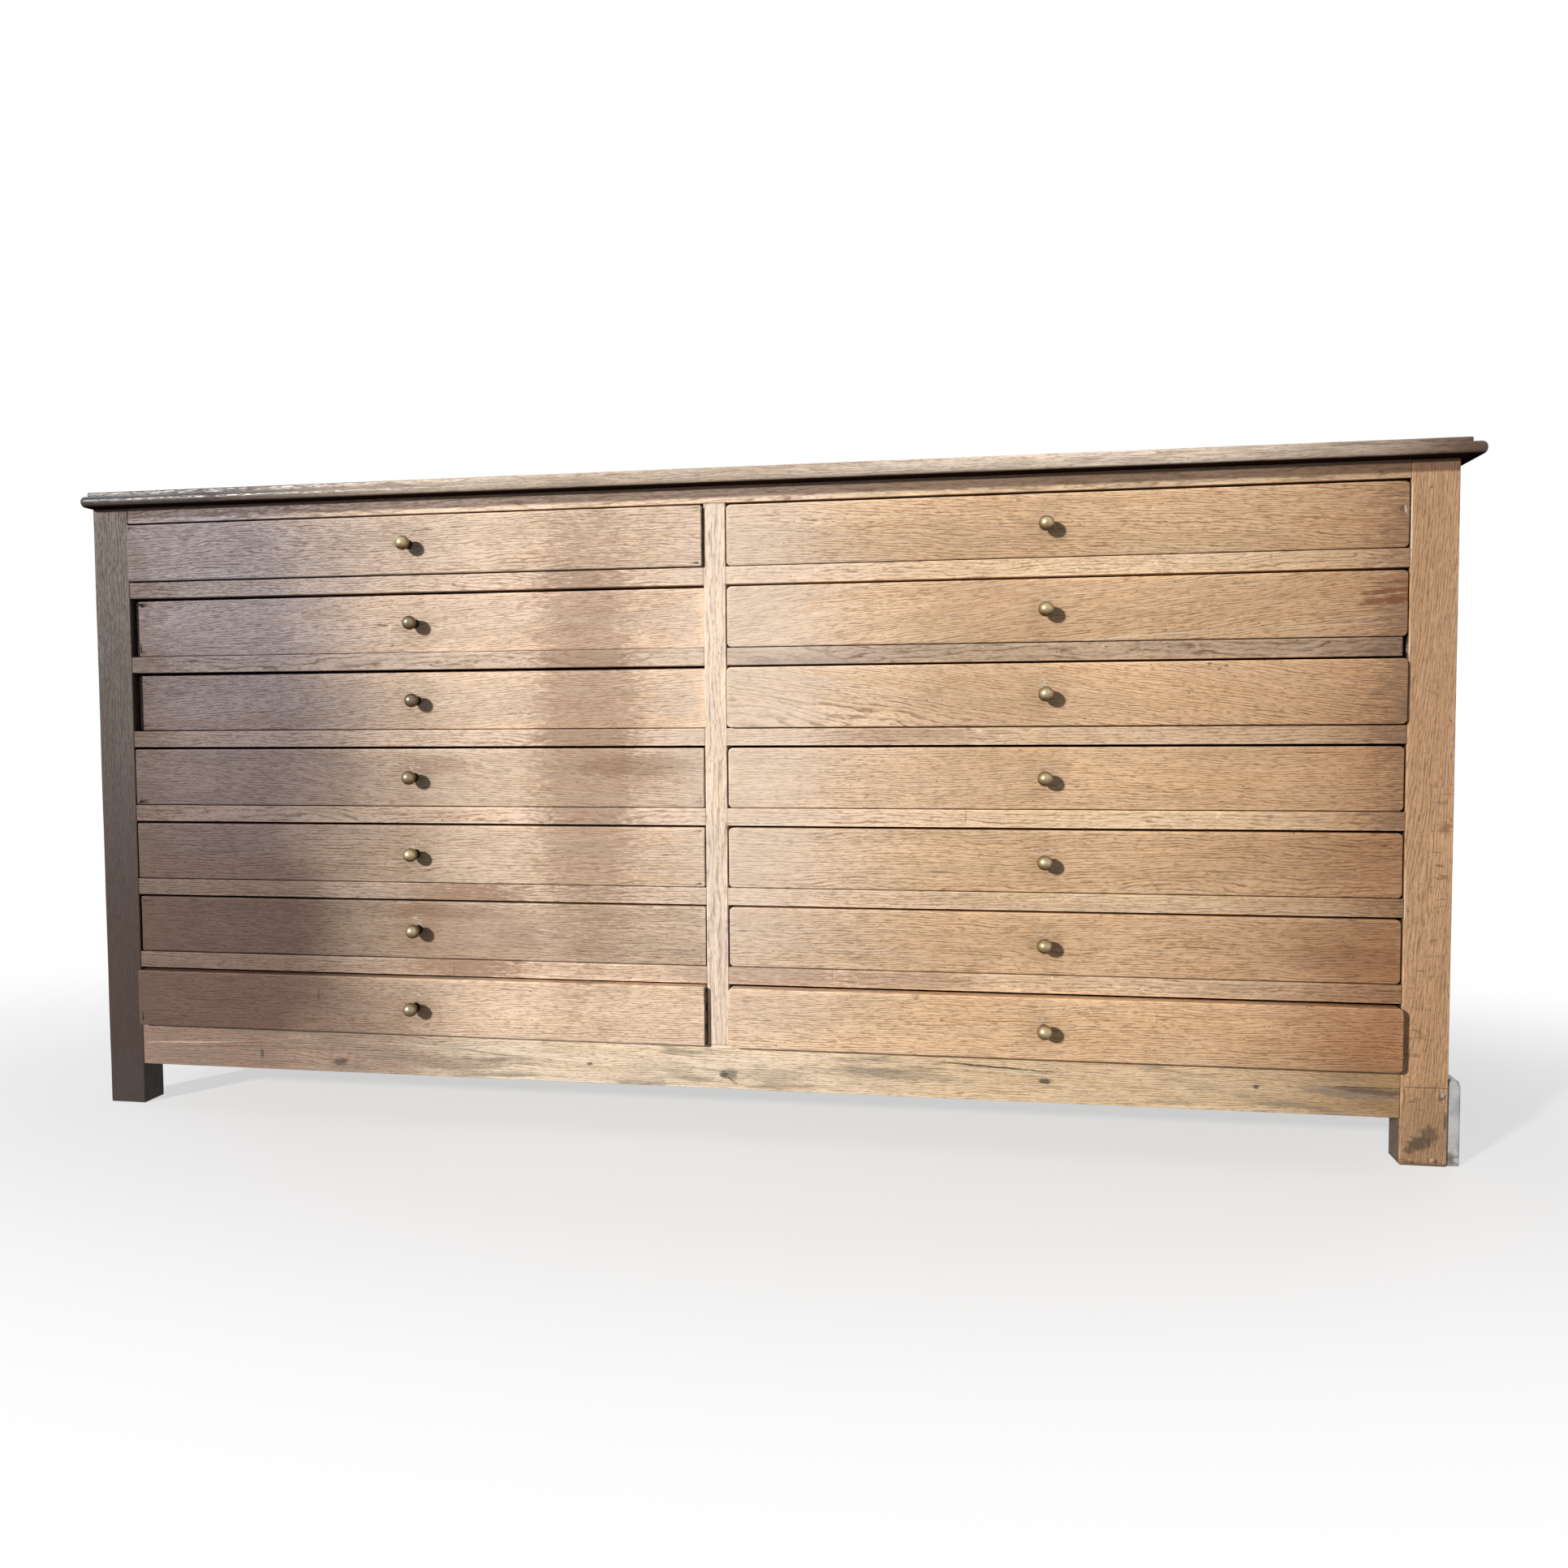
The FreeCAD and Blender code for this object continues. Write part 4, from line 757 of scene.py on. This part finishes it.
# Thin rails: the same oiled oak as the fronts, rubbed pale along their arrises, with the same painted
# light and shade
frame_oak = oak("oiled_oak_rails", RAIL_TONE_AND_LIGHT, pores=0.92, stains_and_painted_light=(
    (PAINTED_SHADE, ((-0.19, 0.57, 0.080, 0.33, 0, 0.75), (-0.37, 0.265, 0.11, 0.10, 0, 0.85),
              (0.05, 0.215, 0.12, 0.02, 0, 0.6), (0.24, 0.214, 0.11, 0.014, 0, 0.5),
              (0.24, 0.536, 0.10, 0.014, 0, 0.4))),
    (PAINTED_END_SHADE, ((-0.90, 0.66, 0.10, 0.36, 0, 0.75), (0.90, 0.58, 0.10, 0.42, 0, 0.5))),
    (PAINTED_LIGHT, ((0.03, 0.56, 0.12, 0.40, 0, 0.4),)),
    (SOOT, ((-0.386, 0.2133, 0.0005, 0.010, 0, 0.8), (0.147, 0.2169, 0.0004, 0.010, 0, 0.8),
            (0.3226, 0.4302, 0.0005, 0.010, 0, 0.8))),
    (RAIL_GREY, ((0.10, 0.6275, 0.10, 0.014, 0, 0.5),)),
    (LIME, ((0.702, 0.6280, 0.005, 0.007, 0, 0.6),)),
))

# Head rail: waxed oak with a painted shadow under the top
head_oak = oak("waxed_oak_head_rail", RAIL_TONE_AND_LIGHT, painted_shade_amount=0.75)

# Bottom rail: bare oak, bleached and dry, with grey washed streaks and black cracks
pale_oak = oak("bare_oak_bottom_rail", FOOT_RAIL_TONE_AND_LIGHT, rough=0.62, weathered=0.6,
               fray=(80, 60, 420), stains_and_painted_light=(
    (WASHED_GREY, (
        (0.07, 0.080, 0.050, 0.010, 0, 0.35), (0.23, 0.088, 0.09, 0.007, -2, 0.45),
        (0.0095, 0.0790, 0.009, 0.008, 0, 0.8), (-0.42, 0.083, 0.12, 0.006, 0, 0.4),
        (0.80, 0.088, 0.060, 0.008, -3, 0.6), (-0.09, 0.084, 0.05, 0.010, 0, 0.15),
        (-0.76, 0.075, 0.12, 0.010, 0, 0.35))),
    (SOOT, (
        (-0.001, 0.0785, 0.006, 0.005, -15, 0.85), (0.008, 0.0725, 0.012, 0.0008, -40, 0.8),
        (-0.561, 0.074, 0.012, 0.006, 10, 0.7), (0.425, 0.0876, 0.009, 0.004, 0, 0.85),
        (0.686, 0.0914, 0.004, 0.003, 0, 0.8), (0.823, 0.091, 0.045, 0.004, -4, 0.55),
        (0.36, 0.1035, 0.085, 0.0012, -3, 0.95), (0.22, 0.1050, 0.05, 0.0007, -3, 0.7),
        (0.82, 0.0960, 0.05, 0.0007, 0, 0.9), (-0.19, 0.0853, 0.005, 0.002, 0, 0.8),
        (-0.683, 0.081, 0.003, 0.008, 0, 0.7), (-0.365, 0.098, 0.055, 0.0012, -6, 0.5),
        (-0.76, 0.0890, 0.10, 0.0008, 2, 0.6), (-0.55, 0.0915, 0.09, 0.0006, 1, 0.6))),
    (LIME, ((-0.797, 0.0935, 0.07, 0.0012, 2, 0.5), (0.32, 0.1000, 0.16, 0.0008, -2.5, 0.8),
            (-0.40, 0.1010, 0.10, 0.0015, -1, 0.5), (0.5, 0.0985, 0.06, 0.0007, -1, 0.6))),
))

# Top: weathered oak worn smooth by use, darkened at both ends and underneath by painted shade
top_oak = oak(
    "weathered_oak_top", TOP_TONE_AND_LIGHT, rough=0.30, weathered=0.4, underside_shade_level=corners("top")[0][Z], stains_and_painted_light=(
        (PAINTED_LEFT_END_SHADE, ((-0.97, 0.87, 0.10, 0.1, 0, 0.85),)),
        (PAINTED_END_SHADE, ((-0.99, 0.87, 0.03, 0.1, 0, 0.3), (1.0, 0.87, 0.12, 0.1, 0, 0.9)))))

# Middle stile: oak of a pale cream, partly painted light where the middle of the cabinet is brightest.
# Ends: oiled oak, even and brown. Back: sawn oak left dry and rough. Runners and trays: planed oak
# without a finish, dull and dusty
middle_oak = oak("pale_oak_stile_with_painted_light", base="#fbe8d6", pores=0.6)
side_oak = oak("oiled_oak_ends", base="#9a7b60")
side_panel_oak = oak("oiled_oak_end_panels", base="#a08166", direction=(0, np.pi / 2, 0), pores=0.5)
back_oak = oak("sawn_oak_back_panels", base="#b0946f", direction=(0, np.pi / 2, 0), pores=0.35, rough=0.7)
back_frame_oak = oak("sawn_oak_back_frame", base="#a98b66", pores=0.4, rough=0.65)
inner_wood = oak("planed_oak_runners", base="#9c8264", direction=(0, 0, np.pi / 2), pores=0.3, rough=0.7)
tray_boxes = [corners("drawer_%s_1_tray" % column) for column in ("left", "right")]
tray_sides = [place for low, high in tray_boxes
              for place in (low[X] + SIDE_THICKNESS / 2, high[X] - SIDE_THICKNESS / 2)]
tray_wood = oak("dusty_planed_oak_trays", base="#b79c7a", direction=(0, 0, 0), pores=0.35, rough=0.65,
                cross_boards=tray_sides)
brass = aged_brass()
paint = painted_board()

# Carcass

stile_low, stile_high = corners("left_front_stile")
right_low, right_high = corners("right_front_stile")
centre_low, centre_high = corners("centre_stile")
top_low, top_high = corners("top")
post_low, post_high = corners("rear_posts")
bottom_low, bottom_high = corners("bottom_rail")
face, rail_back = stile_low[Y], stile_high[Y]
opening_low, opening_high = bottom_high[Z], corners("top_rail")[0][Z]

make_piece("left_stile", [board(stile_low, stile_high, Z, 0.0014, 11, rays=0.2)],
           stile_dark_oak, "oak_stile_dark", "carcass", "left_front_stile")
make_piece("right_stile", [board(right_low, right_high, Z, 0.0014, 12, rays=0.6, slope=0.09)],
           stile_tan_oak, "oak_stile_tan", "carcass", "right_front_stile")
centre_stile_board = board(
    (centre_low[X], face, opening_low), (centre_high[X], rail_back, opening_high), Z, 0.0010, 13, rays=0.3)
make_piece("middle_stile", [centre_stile_board], middle_oak, "oak_frame", "carcass", "centre_stile")
long_rails = (
    ("head_rail", opening_high, top_low[Z], 14, head_oak, "oak_frame", "top_rail"),
    ("foot_rail", bottom_low[Z], opening_low, 15, pale_oak, "oak_pale", "bottom_rail"),
)
for name, low, high, seed, material, slot, node in long_rails:
    rail = board((stile_high[X], face, low), (right_low[X], rail_back, high), X, 0.0010, seed, rays=0.3)
    make_piece(name, [rail], material, slot, "carcass", node)

# Six thin rails in each column, from the top: tone and greyness of each. The second one on the right
# has shrunk: it stands a little behind the others and ends short of the stile
rails_low, rails_high = corners("left_drawer_rails")
pitch = (rails_high[Z] - rails_low[Z] - RAIL_HEIGHT) / 5
columns = (
    ("left", stile_high[X], centre_low[X], 20, 0.3,
     ((0.04, 0.1), (-0.05, 0.2), (0.0, 0.1), (0.04, 0), (-0.08, 0), (0.04, 0))),
    ("right", centre_high[X], right_low[X], 30, 0.9,
     ((0.08, 0), (-0.20, 0.30), (0.02, 0.05), (0.05, 0), (0.0, 0), (-0.02, 0.1))),
)
for column, left, right, first_seed, rays, finishes in columns:
    rails = []
    for number, (tone, grey) in enumerate(finishes):
        top = rails_high[Z] - pitch * number
        behind, short = (0.0025, 0.006) if (column, number) == ("right", 1) else (0, 0)
        low = (left, face + behind, top - RAIL_HEIGHT)
        high = (right - short, rail_back, top)
        rails.append(board(low, high, X, 0.0009, first_seed + number, tone, rays, grey))
    make_piece(column + "_rails", rails, frame_oak, "oak_frame", "carcass", column + "_drawer_rails")

side_frames = []
upper_rail_low = stile_high[Z] - SIDE_RAIL_HEIGHT
for across, seed in ((stile_low[X], 40), (right_high[X] - SIDE_RAIL_THICKNESS, 42)):
    for level, above in ((bottom_low[Z], 0), (upper_rail_low, 1)):
        corner = np.array([across, rail_back, level])
        size = np.array([SIDE_RAIL_THICKNESS, post_low[Y] - rail_back, SIDE_RAIL_HEIGHT])
        side_frames.append(board(corner, corner + size, Y, 0.0012, seed + above))
make_piece("side_frame_rails", side_frames, side_oak, "oak_side", "carcass", "side_rails")
posts = [board((across, post_low[Y], 0), (across + POST_WIDTH, post_high[Y], post_high[Z]), Z, 0.0014, seed)
         for across, seed in ((post_low[X], 46), (post_high[X] - POST_WIDTH, 47))]
make_piece("back_corner_posts", posts, side_oak, "oak_side", "carcass", "rear_posts")

back_frame = []
back_rail_top = bottom_low[Z] + BACK_RAIL_HEIGHT
for level, top, seed in ((bottom_low[Z], back_rail_top, 48), (upper_rail_low, stile_high[Z], 49)):
    low = (post_low[X] + POST_WIDTH, post_low[Y], level)
    high = (post_high[X] - POST_WIDTH, post_high[Y], top)
    back_frame.append(board(low, high, X, 0.0010, seed))
make_piece("back_frame_rails", back_frame, back_frame_oak, "inner_wood", "carcass", "back_rails")
back_middle = (post_low[X] + post_high[X]) / 2
upright = board((back_middle - MUNTIN_WIDTH / 2, post_low[Y], back_rail_top),
                (back_middle + MUNTIN_WIDTH / 2, post_high[Y], upper_rail_low), Z, 0.0010, 45)
make_piece("back_middle_upright", [upright], back_frame_oak, "inner_wood", "carcass", "back_muntin")


def finish_cad_part(node, material):
    """Gives a part that keeps its CAD mesh its wood."""
    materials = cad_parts[node].data.materials
    materials.clear()
    materials.append(material)


finish_cad_part("side_panels", side_panel_oak)
for node in ("back_panels", "centre_partition"):
    finish_cad_part(node, back_oak)
for node in ("drawer_runners", "drawer_guides"):
    finish_cad_part(node, inner_wood)

# Top: a nose of one board round the front and ends, and four glued boards let in behind it

step_front = top_low[Y] + STEP_SETBACK
step_left = top_low[X] + STEP_SETBACK
step_right = top_high[X] - STEP_RIGHT_SETBACK
nose_top = top_low[Z] + NOSE_THICKNESS


def is_nose_arris(points):
    """True away from the back edge."""
    return points[:, Y] < top_high[Y] - 0.006


def is_step_arris(points):
    """True at the front edge and the two ends of the upper member."""
    at_front = points[:, Y] < step_front + 0.004
    at_ends = (points[:, X] < step_left + 0.004) | (points[:, X] > step_right - 0.004)
    return at_front | at_ends


nose_high = (top_high[X], top_high[Y], nose_top)
top_boards = [board(top_low, nose_high, X, 0.0010, 50, tone=0.04, rays=0.2, soften=(0.0072, is_nose_arris))]
glued_boards = ((0, 0.22, 0.05), (0.22, 0.51, -0.1), (0.51, 0.74, 0.1), (0.74, 1, -0.05))
for number, (near, far, tone) in enumerate(glued_boards):
    depth = top_high[Y] - step_front
    low = (step_left, step_front + depth * near, nose_top - 0.008)
    high = (step_right, step_front + depth * far, top_high[Z])
    top_boards.append(board(low, high, X, 0.0004, 51 + number, tone, 0.3, soften=(0.0020, is_step_arris)))
make_piece("top_boards", top_boards, top_oak, "oak_top", "carcass", "top")

skirting_low, skirting_high = corners("right_skirting")


def is_skirting_top(points):
    """True along the skirting's rounded top."""
    return points[:, Z] > skirting_high[Z] - 0.007


skirting = board(skirting_low, skirting_high, Y, 0.0016, 60, soften=(0.0060, is_skirting_top))
make_piece("skirting", [skirting], paint, "painted_wood", "carcass", "right_skirting")

# Drawers, from the top: tone, ray flecks, greyness and slope of the grain of each front, and how dull its
# knob is

FRONTS = {
    "left": ((0.0, 0.2, 0.1, 0.015, 0.0), (0.04, 0.9, 0.1, 0.06, 0.8), (-0.04, 0.4, 0.0, 0.05, 0.95),
             (-0.08, 0.5, 0.0, -0.06, 0.7), (-0.06, 0.2, 0.0, 0.01, 0.15), (-0.25, 0.2, 0.0, -0.01, 0.4),
             (0.06, 0.3, 0.0, 0.02, 0.6)),
    "right": ((-0.03, 0.7, 0.0, -0.05, 0.0), (0.03, 0.5, 0.0, 0.10, 0.1), (0.04, 0.5, 0.0, -0.14, 0.2),
              (0.01, 0.6, 0.0, 0.0, 0.3), (-0.04, 0.5, 0.0, 0.01, 0.2), (-0.09, 0.5, 0.0, 0.0, 0.3),
              (0.05, 0.8, 0.0, 0.02, 0.1)),
}
for column, corner, first_seed in (("left", LEFT_CORNER, 70), ("right", RIGHT_CORNER, 80)):
    for row, (tone, rays, grey, slope, dull) in enumerate(FRONTS[column], start=1):
        name = "drawer_%s_%d" % (column, row)
        knob_low, knob_high = corners(name + "_knob")
        low, high = corners(name + "_front")
        knob_at = (knob_low + knob_high)[[X, Z]] / 2
        front = drawer_front(low, high, corner, knob_at, first_seed + row, tone, rays, grey, slope)
        make_piece(name + "_face", [front], front_oak, "oak_front", name, name + "_front")
        knob = turned_knob(knob_low, knob_high, dull)
        make_piece(name + "_ball_knob", [knob], brass, "brass", name, name + "_knob")
        finish_cad_part(name + "_tray", tray_wood)

# Stage, light and camera

FLOOR_REACH = 30
SENSOR_WIDTH = 36
FOCAL_LENGTH = SENSOR_WIDTH * 1500 / 1932
WHITE = (1, 1, 1, 1)


def seen_rays(tree):
    """The rays that light can come by, and 1 for those that show a thing to the camera: straight, in a
    mirror or through glass."""
    rays = add(tree, "rays")
    kinds = [rays["Is %s Ray" % kind] for kind in ("Camera", "Glossy", "Transmission")]
    return rays, add(tree, "largest", *kinds)


def floor_material():
    """Pale floor that keeps the object's shadow, and turns to plain white away from it. Light that it
    throws back on the object is held down, so that the knobs' shadows stay dark."""
    material = bpy.data.materials.new("pale_floor")
    tree = empty_tree(material)
    away = add(tree, "distance", add(tree, "tint", add(tree, "place"), (0.5, 1, 1)))
    rays, seen = seen_rays(tree)
    share = add(tree, "times", seen, add(tree, "ease", away, 0.35, 1.15, 0.6, 1.0))
    shade = add(tree, "blend", rays["Is Diffuse Ray"], linear("#f6f6f6"), linear("#969696"))
    add(tree, "material", add(tree, "share", share, add(tree, "matt", shade), add(tree, "glow", WHITE, 1.0)))
    return material


floor_mesh = bpy.data.meshes.new("floor")
floor_corners = np.array([(-1, -1, 0), (1, -1, 0), (1, 1, 0), (-1, 1, 0)]) * FLOOR_REACH
floor_mesh.from_pydata(floor_corners.tolist(), [], [(0, 1, 2, 3)])
floor_mesh.materials.append(floor_material())
floor = bpy.data.objects.new("floor", floor_mesh)
bpy.context.scene.collection.objects.link(floor)

world = bpy.data.worlds.new("studio")
bpy.context.scene.world = world
world_tree = empty_tree(world)
strength = add(world_tree, "ease", seen_rays(world_tree)[1], 0.0, 1.0, 0.05, 1.0)
add(world_tree, "world", add(world_tree, "backdrop", WHITE, strength))


def lamp(name, place, target, size, watts, colour, mirrored=True):
    """Square area lamp turned towards a target, hidden from the camera. A lamp that isn't mirrored
    lights the object without a glare on its top."""
    light = bpy.data.lights.new(name, "AREA")
    light.size = size
    light.energy = watts
    light.color = linear(colour)[:3]
    holder = bpy.data.objects.new(name, light)
    holder.location = place
    toward = (np.array(target) - np.array(place)).tolist()
    holder.rotation_mode = "QUATERNION"
    holder.rotation_quaternion = Vector(toward).to_track_quat("-Z", "Y")
    holder.visible_camera = False
    holder.visible_glossy = mirrored
    bpy.context.scene.collection.objects.link(holder)


lamp("key", (-10.2, -14.0, 5.9), (0, -0.2, 0.45), 1.2, 3050, "#fffaf4")
lamp("fill", (2.6, -3.6, 1.6), (0, -0.2, 0.5), 2.6, 5, "#f4f7ff")
lamp("overhead", (-3.4, 0.5, 4.2), (-0.3, -0.1, 0.8), 1.8, 36, "#cfe0ff")
lamp("back", (4.2, 5.2, 3.2), (0, 0.2, 0.5), 3.0, 110, "#f7f9ff", mirrored=False)

# The camera stands where the one of the picture stood, with its focal length of 1500 pixels in 1932
lens = bpy.data.cameras.new("camera")
lens.sensor_width = SENSOR_WIDTH
lens.lens = FOCAL_LENGTH
lens.clip_end = 100
camera = bpy.data.objects.new("camera", lens)
camera.location = (0.34634, -1.86271, 0.55023)
camera.rotation_euler = tuple(np.radians([87.2589, 0.3182, 9.3423]))
bpy.context.scene.collection.objects.link(camera)
bpy.context.scene.camera = camera
bpy.context.scene.view_settings.view_transform = "Standard"
